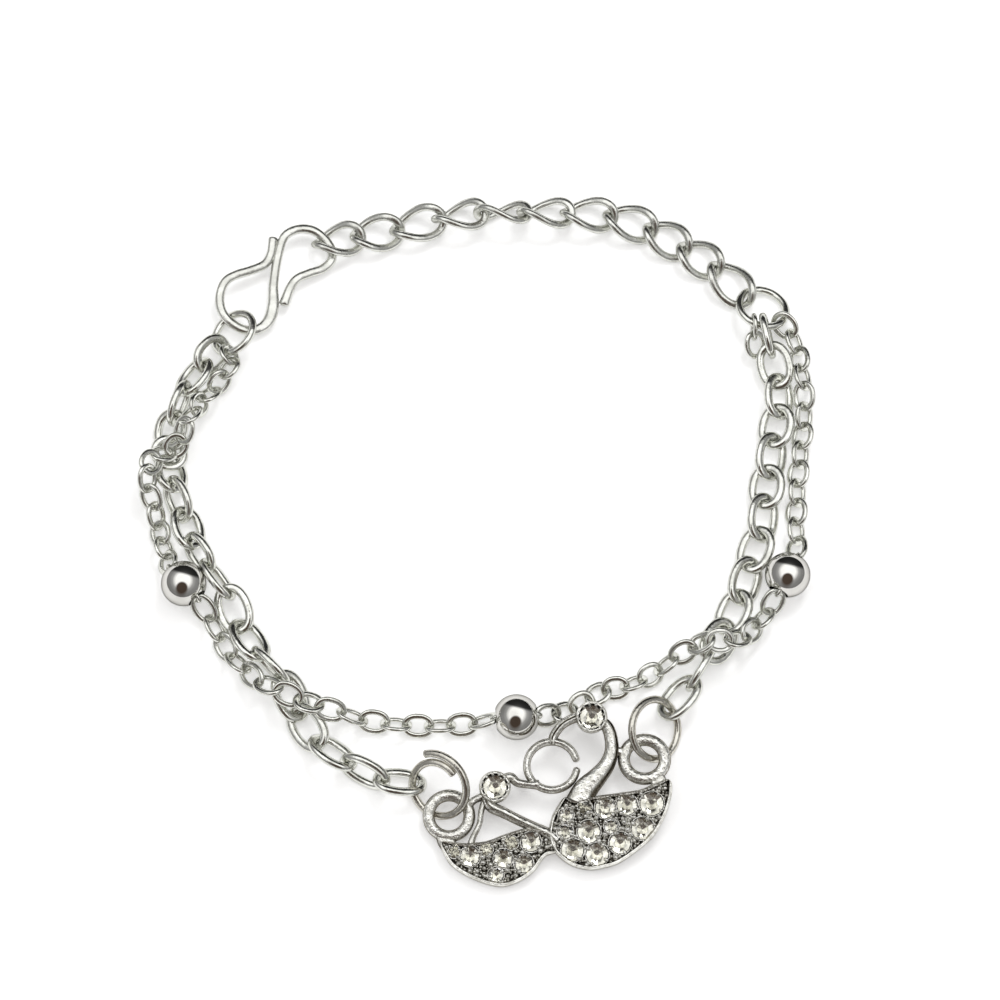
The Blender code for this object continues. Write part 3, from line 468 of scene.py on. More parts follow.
upperWire = np.array([*hook["holds"], hookHeight(*hook["holds"])])
extenderPoints = np.array(
    [hangPoint(upperWire, extender["meets"][0], hook["wire"])] + [(x, y, 0.0) for x, y in extender["meets"]]
    + [ringHang(rings["rightEnd"], extender["endHang"], extender["meets"][-1])])
need = []
for roll in extender["rolls"]:
    reach = np.array([extender["length"] - 2 * extender["wire"], 0.0, 0.0])
    sample, _ = linkLine(np.zeros(3), reach, roll, extender["width"], extender["wire"], restGap, extender["twist"])
    need.append(extender["wire"] / 2 - sample[:, 2].min())
extenderPoints[1:-1, 2] = np.maximum(need[:-1], need[1:])
for k, roll in enumerate(extender["rolls"]):
    line, facing = linkLine(extenderPoints[k], extenderPoints[k + 1], roll, extender["width"], extender["wire"],
                            extender["slack"], extender["twist"])
    makePiece("extenderLink%02d" % (k + 1),
              [wireShape(line, facing, wireProfile(*extender["profile"], wireSides, extender["square"]))],
              [dullSilver], ["extender_link_%02d" % (k + 1)])
print("thick chain, rings, hook and extender made")


balls = {
    "leftBall": {"centre": (-29.3, -6.0), "heading": -48, "node": "left_bead"},
    "centreBall": {"centre": (3.5, -19.6), "heading": 4, "node": "centre_bead"},
    "rightBall": {"centre": (30.3, -5.1), "heading": -118, "node": "right_bead"}}
ballSize = {"diameter": 4.5, "mouth": 1.0, "lip": 0.10, "turnIn": 0.03, "lipShare": 0.4, "boreShare": 0.92,
            "rows": 40, "boreRows": 6, "sides": 64}


def boreAxis(ball):
    # The middle of a ball that lies on the table, and the direction of its bore.
    w = radians(ball["heading"])
    return np.array([*ball["centre"], ballSize["diameter"] / 2]), np.array([np.cos(w), np.sin(w), 0.0])


def ballShape(ball):
    # Turned shell: a circle arc from mouth to mouth, a rolled lip, and a straight bore, all spun about the bore's axis.
    centre, axis = boreAxis(ball)
    radius, mouth, lip = ballSize["diameter"] / 2, ballSize["mouth"], ballSize["lip"]
    first = np.arcsin((mouth + lip) / radius)
    t = np.linspace(first, np.pi - first, ballSize["rows"])
    along, away = radius * np.cos(t), radius * np.sin(t)
    bore = ballSize["boreShare"] * along[0]
    rolled = mouth + ballSize["lipShare"] * lip
    away = np.r_[away, rolled, np.full(ballSize["boreRows"], mouth), rolled]
    along = np.r_[along, along[-1] - ballSize["turnIn"], np.linspace(-bore, bore, ballSize["boreRows"]),
                  along[0] + ballSize["turnIn"]]
    a = np.linspace(0, 2 * np.pi, ballSize["sides"], endpoint=False)
    side = np.cross([0.0, 0.0, 1.0], axis)
    spin = np.cos(a)[:, None] * side + np.sin(a)[:, None] * np.array([0.0, 0.0, 1.0])
    return gridShape(centre + along[:, None, None] * axis + away[:, None, None] * spin[None])


for name, ball in balls.items():
    makePiece(name, [ballShape(ball)], [ballSilver], [ball["node"]], sharpAngle=70)
print("balls made")


fineChain = {
    "width": 2.5, "wire": 0.48, "profile": (0.57, 0.46), "square": 0.85, "sides": 10, "gap": 0.03, "rows": 44,
    "boreWidth": 1.5, "boreHalf": 2.1, "boreRoll": 70, "boreProfile": (0.46, 0.42), "boreSquare": 0.8,
    "sag": 1.1, "lift": 0.06, "clear": 0.05, "near": 6, "rounds": 70, "checkRows": 24,
    "routeSteps": 24, "rolls": (36, -48),
    "leftHang": (-0.1, -1.0), "rightHang": (0.8, -0.65),
    "runs": [
        {"count": 16, "first": 1, "special": {6: 25, 7: -25, 8: 25, 9: -30},
         "route": [(-24.9, 17.6), (-26.6, 15.1), (-28.3, 12.6), (-29.3, 10.2), (-30.3, 7.9), (-31.9, 7.3),
                   (-33.2, 5.0), (-32.6, 2.4), (-31.9, -0.3), (-31.2, -2.9)]},
        {"count": 16, "first": 0, "special": {5: -25, 6: 25, 7: -25},
         "route": [(-27.2, -8.3), (-25.4, -11.7), (-23.3, -14.6), (-20.6, -16.8), (-16.7, -18.4),
                   (-12.8, -19.4), (-8.5, -20.0), (-4.3, -20.2), (-0.1, -19.9)]},
        {"count": 15, "first": 0, "special": {1: -20, 2: 20, 3: -20, 9: -25, 10: 25, 11: -25},
         "route": [(6.7, -19.3), (8.6, -18.7), (10.0, -17.8), (11.6, -16.7), (12.9, -16.3), (14.9, -16.0),
                   (18.0, -14.2), (21.2, -12.4), (24.6, -12.2), (26.9, -10.6), (28.6, -8.2)]},
        {"count": 13, "first": 0, "special": {},
         "route": [(31.3, 21.0), (31.9, 19.0), (32.4, 15.3), (32.45, 11.7), (32.0, 8.2), (31.6, 4.6),
                   (31.4, 1.1), (31.3, -1.6)]}],
    # two spare links bunched under the right end ring: the side that they hang on and where they meet
    "spare": {"side": (-0.44, -0.90), "meets": [(27.56, 20.29, 1.73), (27.84, 18.63, 0.91)], "rolls": (86, -26)}}


def equalSteps(line, count):
    # Points the same distance apart along a line: the length walked so far, cut into equal shares.
    walked = np.r_[0.0, np.cumsum(np.linalg.norm(np.diff(line, axis=0), axis=1))]
    share = np.linspace(0.0, walked[-1], count + 1)
    return np.stack([np.interp(share, walked, line[:, k]) for k in range(line.shape[1])], 1)


def fineRun(start, run, end, startHeight, endHeight):
    # Meeting points at equal steps on the table; a link that comes too near the thick chain lifts both of its
    # ends a little at a time, and a point is never more than the sag below its neighbour.
    width, wire = fineChain["width"], fineChain["wire"]
    plan = equalSteps(smoothLine([start[:2]] + run["route"] + [end[:2]], fineChain["routeSteps"]), run["count"])
    rolls = [fineChain["rolls"][(k + run["first"]) % 2] for k in range(run["count"])]
    for k, roll in run["special"].items():
        rolls[k] = roll
    need = (width - wire) / 2 * abs(np.sin(np.radians(rolls))) + wire / 2
    floor = np.maximum(np.r_[need[0], need], np.r_[need, need[-1]])
    z = floor.copy()
    z[0], z[-1] = startHeight, endHeight
    middles = np.array([line.mean(0) for line in thickLines])
    touching = wire / 2 + mainChain["wire"][1] / 2
    for _ in range(fineChain["rounds"]):
        lifted = False
        for k in range(1, len(z) - 1):
            z[k] = max(z[k], floor[k], z[k - 1] - fineChain["sag"])
        for k in range(len(z) - 2, 0, -1):
            z[k] = max(z[k], z[k + 1] - fineChain["sag"])
        points = np.column_stack([plan, z])
        for k, roll in enumerate(rolls):
            line, _ = linkLine(points[k], points[k + 1], roll, width, wire, fineChain["gap"],
                               count=fineChain["checkRows"])
            away = np.linalg.norm(middles - line.mean(0), axis=1)
            near = [thickLines[m] for m in np.flatnonzero(away < fineChain["near"])]
            if not near:
                continue
            apart = np.linalg.norm(line[:, None] - np.vstack(near)[None], axis=2).min()
            if apart - touching < fineChain["clear"]:
                for m in (k, k + 1):
                    if 0 < m < len(z) - 1:
                        z[m] += fineChain["lift"]
                        lifted = True
        if not lifted:
            break
    return np.column_stack([plan, z]), rolls


def fineShapes(points, rolls):
    # One link between each meeting point and the next.
    shapes = []
    for a, b, roll in zip(points, points[1:], rolls):
        line, facing = linkLine(a, b, roll, fineChain["width"], fineChain["wire"], fineChain["gap"],
                                count=fineChain["rows"])
        profile = wireProfile(*fineChain["profile"], fineChain["sides"], fineChain["square"])
        shapes.append(wireShape(line, facing, profile))
    return shapes


def boreLink(ball):
    # The long narrow link that the ball is threaded on.
    centre, axis = boreAxis(balls[ball])
    half = fineChain["boreHalf"]
    line, facing = linkLine(centre - half * axis, centre + half * axis, fineChain["boreRoll"],
                            fineChain["boreWidth"], fineChain["wire"], fineChain["gap"], count=fineChain["rows"])
    profile = wireProfile(*fineChain["boreProfile"], fineChain["sides"], fineChain["boreSquare"])
    return wireShape(line, facing, profile)


def boreEnd(ball, sign):
    # The far end of a ball's long link, on the side that the sign says.
    centre, axis = boreAxis(balls[ball])
    return centre + sign * fineChain["boreHalf"] * axis


leftRim = ringHang(rings["leftEnd"], fineChain["leftHang"], fineChain["runs"][0]["route"][0])
rightRim = ringHang(rings["rightEnd"], fineChain["rightHang"], fineChain["runs"][3]["route"][0])
ends = [(leftRim, boreEnd("leftBall", -1)), (boreEnd("leftBall", 1), boreEnd("centreBall", -1)),
        (boreEnd("centreBall", 1), boreEnd("rightBall", 1)), (rightRim, boreEnd("rightBall", -1))]
fineParts = [fineShapes(*fineRun(a, run, b, a[2], b[2])) for run, (a, b) in zip(fineChain["runs"], ends)]
spare = fineChain["spare"]
spareRim = ringHang(rings["rightEnd"], spare["side"], spare["meets"][0])
spareLinks = fineShapes(np.array([spareRim] + spare["meets"]), spare["rolls"])
makePiece("leftFineChain", fineParts[0] + [boreLink("leftBall")] + fineParts[1] + [boreLink("centreBall")],
          [plateSilver], ["fine_chain_left"])
makePiece("rightFineChain", fineParts[2] + [boreLink("rightBall")] + fineParts[3] + spareLinks,
          [plateSilver], ["fine_chain_right"])
print("fine chain made")


plaque = {
    "tilt": 8.2, "lowY": -36.1, "height": 1.4, "smallShare": 0.97, "rimShare": 0.75, "rimRounds": 6,
    "steps": 8,
    "largeBody": [(8.1, -27.4), (9.2, -27.6), (11.4, -27.2), (13.5, -26.9), (15.5, -26.6), (16.9, -26.0),
                  (18.2, -25.6), (18.6, -26.2), (18.5, -27.4), (18.0, -29.0), (16.9, -31.0), (15.4, -32.4),
                  (13.5, -33.7), (12.0, -34.2), (10.6, -34.4), (9.1, -34.1), (7.9, -33.4), (7.0, -32.4),
                  (6.6, -31.3), (6.7, -30.0), (7.1, -28.8)],
    "smallBody": [(-3.8, -31.7), (-1.5, -31.8), (0.5, -31.6), (1.9, -31.1), (3.4, -30.6), (4.8, -30.3),
                  (6.3, -30.6), (7.2, -31.3), (7.4, -32.6), (6.3, -33.1), (5.3, -34.4), (4.5, -35.1),
                  (3.1, -35.8), (1.7, -36.0), (-0.2, -35.5), (-2.0, -34.6), (-3.2, -33.5)],
    # rim profile rows of inset, height and painted shade: darker down the outer wall to the table and down the inner
    # wall to the pit floor, where oxide gathers too
    "rim": [(0.10, 0.00, 0.5), (0.0, 0.12, 0.4), (0.0, 0.85, 0.3), (0.03, 1.10, 0.1), (0.11, 1.30, 0.0),
            (0.20, 1.38, 0.0), (0.29, 1.36, 0.0), (0.36, 1.24, 0.4), (0.42, 0.80, 0.9), (0.50, 0.08, 1.0)],
    "largeHead": (10.8, -19.6), "smallHead": (1.4, -26.4)}


def laid(points):
    # The plaque is drawn on its flat back and turned up about its low edge.
    p = np.asarray(points, float)
    c, s = np.cos(radians(plaque["tilt"])), np.sin(radians(plaque["tilt"]))
    y = p[..., 1] - plaque["lowY"]
    return np.stack([p[..., 0], plaque["lowY"] + c * y - s * p[..., 2], s * y + c * p[..., 2]], -1)


def inwardRoom(edge):
    # Radius of the largest circle that touches a closed line at a point from inside: over all other points,
    # the least of distance squared over twice the distance along the inward normal.
    tangent = np.roll(edge, -1, 0) - np.roll(edge, 1, 0)
    tangent /= np.linalg.norm(tangent, axis=1)[:, None]
    inward = np.stack([-tangent[:, 1], tangent[:, 0]], 1)
    area = (edge[:, 0] * np.roll(edge[:, 1], -1) - np.roll(edge[:, 0], -1) * edge[:, 1]).sum()
    inward *= np.sign(area)
    apart = edge[None] - edge[:, None]
    ahead = (apart * inward[:, None]).sum(2)
    room = np.where(ahead > 1e-3, (apart ** 2).sum(2) / (2 * np.maximum(ahead, 1e-3)), 9.0).min(1)
    return inward, room


def bodyShape(outline, share):
    # One ring of points for each step of the rim's profile, drawn inward by no more than the room there is.
    edge = smoothLine(outline, plaque["steps"], closed=True)
    inward, room = inwardRoom(edge)
    deepest = plaque["rim"][-1][0]
    fit = np.minimum(1.0, plaque["rimShare"] * room / deepest)
    for _ in range(plaque["rimRounds"]):
        fit = np.minimum(fit, (np.roll(fit, 1) + fit + np.roll(fit, -1)) / 3)
    rows, shades = [], []
    for inset, height, shade in plaque["rim"]:
        ring = edge + inward * (inset * fit)[:, None]
        rows.append(np.column_stack([ring, np.full(len(ring), height * share)]))
        shades.append(np.full(len(ring), shade))
    return gridShape(laid(np.array(rows)), False, np.array(shades))


# band sizes, and the painted shade on each band's sides, shoulders, edges and groove
band = {"columns": 17, "sideShade": 0.7, "shoulderShade": 0.6, "edgeShade": 0.62, "edgeFrom": 0.66,
        "edgeOver": 0.24, "grooveShade": 0.8, "tipHeight": 0.55}


def bandShape(points, halfWidths, low, height, closed=False, groove=None, flat=0.5, tips=0.0):
    # Flat-backed band: straight sides, a crowned top, and on some a groove pressed in along one side, a bell curve
    # across. The half width runs along the curve with the points; tips narrows and lowers both ends as a quarter
    # circle.
    widths = np.broadcast_to(np.array(halfWidths, float), (len(points),))
    curve = smoothLine(np.column_stack([np.array(points, float), widths]), plaque["steps"], closed)
    line, width = curve[:, :2], curve[:, 2]
    if closed:
        tangent = np.roll(line, -1, 0) - np.roll(line, 1, 0)
    else:
        tangent = np.gradient(line, axis=0)
    tangent /= np.linalg.norm(tangent, axis=1)[:, None]
    size = np.ones(len(line))
    if tips:
        bend = np.radians([80, 58, 32])
        line = np.vstack([line[0] - tangent[0] * tips * np.sin(bend)[:, None], line,
                          line[-1] + tangent[-1] * tips * np.sin(bend[::-1])[:, None]])
        size = np.r_[np.cos(bend), size, np.cos(bend[::-1])]
        width = np.r_[width[[0] * 3], width, width[[-1] * 3]]
        tangent = np.vstack([tangent[[0] * 3], tangent, tangent[[-1] * 3]])
    side = np.stack([-tangent[:, 1], tangent[:, 0]], 1)
    across = np.r_[-1.0, -1.0, np.linspace(-0.98, 0.98, band["columns"]), 1.0, 1.0]
    top = (1 - flat) + flat * np.sqrt(np.maximum(1 - across ** 2, 0.0))
    rise = np.r_[0.0, 0.5 * (1 - flat), top[2:-2], 0.5 * (1 - flat), 0.0]
    # painted shade: darker down the sides and shoulders, toward both edges of the crown and in the groove
    edges = [band["sideShade"], band["shoulderShade"]]
    shade = np.r_[edges, np.zeros(band["columns"]), edges[::-1]]
    shade += band["edgeShade"] * np.clip((abs(across) - band["edgeFrom"]) / band["edgeOver"], 0, 1)
    if groove:
        dip = np.exp(-((across - groove["at"]) / groove["width"]) ** 2)
        dip[[0, 1, -2, -1]] = 0
        rise = rise - groove["depth"] * dip
        shade = shade + band["grooveShade"] * dip
    grid = np.zeros((len(line), len(across), 3))
    grid[..., :2] = line[:, None] + (width * size)[:, None, None] * across[None, :, None] * side[:, None]
    tall = band["tipHeight"] + (1 - band["tipHeight"]) * size
    grid[..., 2] = low + (height - low) * rise[None] * tall[:, None]
    return gridShape(laid(grid), closed, shade[None])


def ovalLine(x, y, rx, ry, count, first=0.0, last=360.0):
    # Ellipse or an arc of one, by the angle in degrees.
    full = last - first >= 360.0
    a = np.radians(np.linspace(first, last, count, endpoint=not full))
    return np.stack([x + rx * np.cos(a), y + ry * np.sin(a)], 1)


def turnedShape(x, y, profile, sides=40, loop=False):
    # A profile of radius, height and shade spun about an upright axis of the plaque; a loop is a ring with a hole.
    r, z, shade = np.array(profile, float).T
    a = np.arange(sides) * 2 * np.pi / sides
    grid = np.stack([x + r[:, None] * np.cos(a), y + r[:, None] * np.sin(a), np.tile(z[:, None], sides)], -1)
    return gridShape(laid(grid), loop, shade[:, None])


def grainShapes(places, radii, heights, foot=0.1, sides=10):
    # Domes on posts: rows from the foot up to the height, then a quarter circle to the top, with painted shade and
    # oxide darkening the posts toward the foot.
    shapes = []
    for (x, y), r, z in zip(places, radii, heights):
        profile = [(r, foot, 1.0), (r, z - 0.15, 0.7), (r, z, 0.25), (0.86 * r, z + 0.5 * r, 0.0),
                   (0.5 * r, z + 0.86 * r, 0.0), (0.1 * r, z + r, 0.0)]
        shapes.append(turnedShape(x, y, profile, sides))
    return shapes


collar = {"inside": 0.02, "outside": 0.15, "foot": 0.05, "shoulder": -0.08, "top": 0.02, "bevel": (0.03, 0.04)}


def collarShape(x, y, radius, girdle):
    # The seat's wall: a thin ring round the stone from the floor up to its girdle, its walls darkened toward the floor
    # by painted shade and oxide.
    inner, outer, foot = radius + collar["inside"], radius + collar["outside"], collar["foot"]
    shoulder, top = girdle + collar["shoulder"], girdle + collar["top"]
    innerBevel, outerBevel = collar["bevel"]
    return turnedShape(x, y, [(inner, foot, 1.0), (inner, shoulder, 0.9), (inner + innerBevel, top, 0.25),
                              (outer - outerBevel, top, 0.1), (outer, shoulder, 0.4), (outer, foot, 1.0)], loop=True)


stones = {
    "large": [(16.6, -28.0, 1.15), (14.2, -28.1, 1.0), (12.1, -28.4, 1.0), (10.1, -28.3, 0.65),
              (15.7, -30.4, 1.1), (13.5, -31.8, 1.05), (11.3, -32.9, 1.1), (8.9, -32.5, 1.1),
              (10.5, -30.7, 1.1), (8.3, -29.1, 0.7), (8.2, -30.7, 0.75), (12.7, -30.2, 0.72)],
    "small": [(4.9, -31.7, 0.95), (3.0, -31.8, 0.65), (-1.0, -33.1, 0.95), (2.2, -33.3, 0.9),
              (4.2, -33.8, 0.9), (1.5, -34.9, 0.75), (0.6, -32.4, 0.6), (-2.5, -32.7, 0.55)],
    "headRadius": 1.15, "headTop": 1.8, "headSeed": 77, "setback": 0.02, "edge": 0.05, "crown": 0.25,
    "crownRing": (0.80, 0.55), "pavilion": 0.86, "pavilionRing": (0.45, 0.55), "floorRoom": 0.1, "table": 0.54,
    "turn": 0.78, "lean": 0.05}

strands = [
    # large swan: neck, beak, open ring
    bandShape([(11.6, -19.7), (12.4, -20.6), (12.75, -21.9), (12.7, -23.1), (12.2, -24.3), (11.3, -25.4),
               (10.2, -26.6), (9.6, -27.9)], [0.5, 0.6, 0.65, 0.7, 0.8, 0.95, 1.2, 1.4], 0.03, 1.35,
              groove={"at": 0.70, "width": 0.10, "depth": 0.22}),
    bandShape([(10.3, -19.3), (9.1, -19.6), (7.9, -20.3), (7.1, -21.4), (6.95, -22.2)],
              [0.56, 0.48, 0.44, 0.44, 0.38], 0.03, 1.1, groove={"at": -0.1, "width": 0.16, "depth": 0.2}),
    bandShape(ovalLine(6.95, -24.25, 2.45, 2.35, 17, 16, 350), 0.37, 0.06, 1.0, flat=0.6, tips=0.28),
    # small swan: beak, neck, thin strand
    bandShape([(1.9, -25.8), (2.9, -25.4), (3.6, -25.9), (4.7, -26.1), (5.6, -26.1)],
              [0.55, 0.48, 0.40, 0.36, 0.48], 0.09, 1.15, tips=0.2),
    bandShape([(0.5, -27.2), (1.0, -28.2), (2.2, -28.8), (3.6, -29.5), (5.1, -30.2), (6.6, -30.9),
               (7.4, -31.6)], [0.5, 0.55, 0.52, 0.5, 0.5, 0.55, 0.6], 0.12, 1.42,
              groove={"at": -0.30, "width": 0.13, "depth": 0.28}),
    bandShape([(0.5, -27.4), (0.1, -28.6), (-0.1, -29.9), (-0.7, -31.2), (-1.0, -32.1)],
              [0.34, 0.29, 0.27, 0.29, 0.38], 0.15, 1.0),
    # flat tail loops and what ties them to the bodies
    bandShape(ovalLine(-3.05, -29.1, 1.98, 1.98, 16), 0.58, 0.03, 0.76, closed=True, flat=0.7),
    bandShape([(-3.6, -30.9), (-3.3, -31.7), (-2.6, -32.5)], [0.8, 0.8, 0.8], 0.06, 0.68, flat=0.35),
    bandShape([(-1.3, -28.2), (-0.6, -27.6), (0.3, -27.2)], [0.45, 0.35, 0.4], 0.06, 0.68),
    bandShape(ovalLine(15.95, -23.6, 2.0, 1.9, 16), 0.60, 0.03, 0.76, closed=True, flat=0.7),
    bandShape([(16.9, -25.1), (17.3, -25.8), (17.5, -26.6)], [0.7, 0.8, 0.8], 0.06, 0.68, flat=0.35),
    bandShape([(12.8, -22.7), (13.6, -22.9), (14.3, -23.1)], [0.5, 0.45, 0.5], 0.06, 0.68)]
# the heads' settings: radius, height and painted shade, from the underside up over the edge and down into the seat,
# where oxide gathers too
bezel = [(0.3, 0.17, 0.8), (1.42, 0.17, 0.8), (1.52, 0.4, 0.5), (1.55, 1.40, 0.2), (1.50, 1.66, 0.0),
         (1.40, 1.78, 0.0), (1.30, 1.78, 0.0), (1.26, 1.66, 0.5), (1.22, 1.15, 1.0), (0.6, 0.64, 1.0),
         (0.05, 0.40, 1.0)]
heads = [turnedShape(*plaque["largeHead"], bezel), turnedShape(*plaque["smallHead"], bezel)]


def insideLine(points, edge):
    # Even-odd rule: a point is inside when a ray from it crosses the closed line an odd number of times.
    a, b = edge[None], np.roll(edge, -1, 0)[None]
    px, py = points[:, :1], points[:, 1:]
    across = (a[..., 1] > py) != (b[..., 1] > py)
    at = a[..., 0] + (py - a[..., 1]) / np.where(b[..., 1] == a[..., 1], 1e-9, b[..., 1] - a[..., 1]) \
        * (b[..., 0] - a[..., 0])
    return ((across & (px < at)).sum(1) % 2) == 1


grains = {
    "coarse": {"step": (0.60, 0.56), "jitter": 0.15, "room": 0.13, "overlap": 0.08, "radius": (0.20, 0.34),
               "below": (0.0, 0.22), "sides": 10},
    "fine": {"step": (0.30, 0.28), "jitter": 0.08, "room": 0.12, "overlap": 0.0, "radius": (0.12, 0.19),
             "below": (0.12, 0.40), "sides": 8},
    "rimRoom": 0.42, "prongRadius": (0.17, 0.25), "prongTurn": 0.4, "prongInset": 0.02, "prongRoom": -0.05,
    "prongRimRoom": 0.35, "prongAbove": 0.04, "headProngs": 12, "headTurn": 10, "headReach": 1.27,
    "headRadius": 0.18, "headTop": 1.66, "headFoot": 1.2, "largeSeed": 3, "smallSeed": 8}


def fillGrains(outline, stoneList, share, seed):
    # Grains wherever the floor shows: two fields of points, coarse and fine, kept where they are inside the rim and
    # beside the stones, plus four prongs at the edge of each stone and a collar round it.
    rng = np.random.default_rng(seed)
    edge = smoothLine(outline, plaque["steps"], closed=True)
    low, high = edge.min(0), edge.max(0)
    centres = np.array([s[:2] for s in stoneList])
    radii = np.array([s[2] for s in stoneList])
    girdle = plaque["height"] * share - stones["setback"] - stones["crown"]

    def toEdge(points):
        # The distance to the nearest point of the outline.
        return np.linalg.norm(points[:, None] - edge[None], axis=2).min(1)

    shapes = [collarShape(x, y, r, girdle) for x, y, r in stoneList]
    for kind in ("coarse", "fine"):
        look = grains[kind]
        field = np.stack(np.meshgrid(np.arange(low[0], high[0], look["step"][0]),
                                     np.arange(low[1], high[1], look["step"][1])), -1).reshape(-1, 2)
        field += rng.uniform(-look["jitter"], look["jitter"], field.shape)
        room = (np.linalg.norm(field[:, None] - centres[None], axis=2) - radii[None]).min(1)
        kept = (room > look["room"]) & (toEdge(field) > grains["rimRoom"]) & insideLine(field, edge)
        field, room = field[kept], room[kept]
        shapes += grainShapes(field, np.minimum(rng.uniform(*look["radius"], len(field)), room + look["overlap"]),
                              girdle - rng.uniform(*look["below"], len(field)), sides=look["sides"])
    turns = np.radians(np.arange(4) * 90 + 45) + rng.uniform(-1, 1, (len(stoneList), 1)) * grains["prongTurn"]
    reach = (radii - grains["prongInset"])[:, None, None]
    prongs = (centres[:, None] + reach * np.stack([np.cos(turns), np.sin(turns)], -1)).reshape(-1, 2)
    room = np.linalg.norm(prongs[:, None] - centres[None], axis=2) - radii[None]
    room[np.arange(len(prongs)), np.repeat(np.arange(len(stoneList)), 4)] = np.inf  # a prong's own stone
    prongs = prongs[(room.min(1) > grains["prongRoom"]) & (toEdge(prongs) > grains["prongRimRoom"])
                    & insideLine(prongs, edge)]
    return shapes + grainShapes(prongs, rng.uniform(*grains["prongRadius"], len(prongs)),
                                np.full(len(prongs), girdle + grains["prongAbove"]))


def headProngs(x, y):
    # Even steps round the circle of a head's setting.
    count, reach = grains["headProngs"], grains["headReach"]
    a = np.radians(np.arange(count) * 360 / count + grains["headTurn"])
    places = np.stack([x + reach * np.cos(a), y + reach * np.sin(a)], 1)
    return grainShapes(places, np.full(count, grains["headRadius"]), np.full(count, grains["headTop"]),
                       grains["headFoot"])


plaqueShapes = [bodyShape(plaque["largeBody"], 1.0), bodyShape(plaque["smallBody"], plaque["smallShare"])]
plaqueShapes += strands + heads + headProngs(*plaque["largeHead"]) + headProngs(*plaque["smallHead"])
plaqueShapes += fillGrains(plaque["largeBody"], stones["large"], 1.0, grains["largeSeed"])
plaqueShapes += fillGrains(plaque["smallBody"], stones["small"], plaque["smallShare"], grains["smallSeed"])
makePiece("swanPlaque", plaqueShapes, [castSilver], ["swan_plaque"], sharpAngle=42)
print("plaque made,", len(plaqueShapes), "shapes")


def stoneShape(x, y, radius, top, seed):
    # Round brilliant: an eight-sided table, a ring of eight crown points turned half a step, a sixteen-sided
    # girdle with a thin edge, and pavilion facets down to a point. The pavilion takes the foil.
    rng = np.random.default_rng(seed)
    turn = rng.uniform(0, stones["turn"])
    girdle = top - stones["setback"] - stones["crown"]
    eight, sixteen = np.arange(8) * np.pi / 4 + turn, np.arange(16) * np.pi / 8 + turn
    lean = rng.uniform(-stones["lean"], stones["lean"], 2)
    under = girdle - stones["edge"]
    deep = min(stones["pavilion"] * radius, under - stones["floorRoom"])
    (crownShare, crownRise), (pavilionShare, pavilionDrop) = stones["crownRing"], stones["pavilionRing"]

    def ring(angles, share, z):
        # Points round the stone at a share of its radius; height grows evenly across it where the stone leans.
        px, py = share * radius * np.cos(angles), share * radius * np.sin(angles)
        return np.stack([x + px, y + py, z + lean[0] * px + lean[1] * py], 1)

    points = np.vstack([ring(eight, stones["table"], girdle + stones["crown"]),
                        ring(eight + np.pi / 8, crownShare, girdle + crownRise * stones["crown"]),
                        ring(sixteen, 1.0, girdle), ring(sixteen, 1.0, under),
                        ring(eight, pavilionShare, under - pavilionDrop * deep), [(x, y, under - deep)]])
    k = np.arange(8)
    n = (k + 1) % 8
    s, sn = 2 * k, (2 * k + 2) % 16
    table = np.arange(8)[None]
    crown = [np.stack([k, 8 + k, n], 1), np.stack([k, 16 + s, 8 + k], 1), np.stack([n, 8 + k, 16 + sn], 1),
             np.stack([8 + k, 16 + s, 16 + s + 1], 1), np.stack([8 + k, 16 + s + 1, 16 + sn], 1)]
    m = np.arange(16)
    mn = (m + 1) % 16
    girdleBand = np.stack([16 + m, 32 + m, 32 + mn, 16 + mn], 1)
    pavilion = [np.stack([48 + k, 32 + s, 32 + s + 1], 1), np.stack([48 + k, 32 + s + 1, 48 + n], 1),
                np.stack([48 + n, 32 + s + 1, 32 + sn], 1), np.stack([48 + k, 48 + n, np.full(8, 56)], 1)]
    paint = np.r_[np.zeros(1 + 40 + 16), np.ones(32)].astype(int)  # table, crown and girdle, then the pavilion
    shade = np.r_[np.zeros(32), rng.uniform(0.0, 1.0, 16), rng.uniform(0.0, 1.0, 9)]
    faces = [table, *crown, girdleBand, *pavilion]
    return (facingOut(laid(points), faces), shade), paint


stoneSets = [("large", "largeSwanStone%02d", "large_swan_stone_%02d", plaque["height"]),
             ("small", "smallSwanStone%02d", "small_swan_stone_%02d", plaque["height"] * plaque["smallShare"])]
for group, name, node, top in stoneSets:
    for k, (x, y, r) in enumerate(stones[group]):
        shape, paint = stoneShape(x, y, r, top, 10 * k + len(group))
        makePiece(name % (k + 1), [shape], [crystal, foil], [node % (k + 1)], False, paint=paint)
for name, node, place in (("largeHeadStone", "large_swan_head_stone", plaque["largeHead"]),
                          ("smallHeadStone", "small_swan_head_stone", plaque["smallHead"])):
    shape, paint = stoneShape(*place, stones["headRadius"], stones["headTop"], stones["headSeed"])
    makePiece(name, [shape], [crystal, foil], [node], False, paint=paint)
print("stones made")


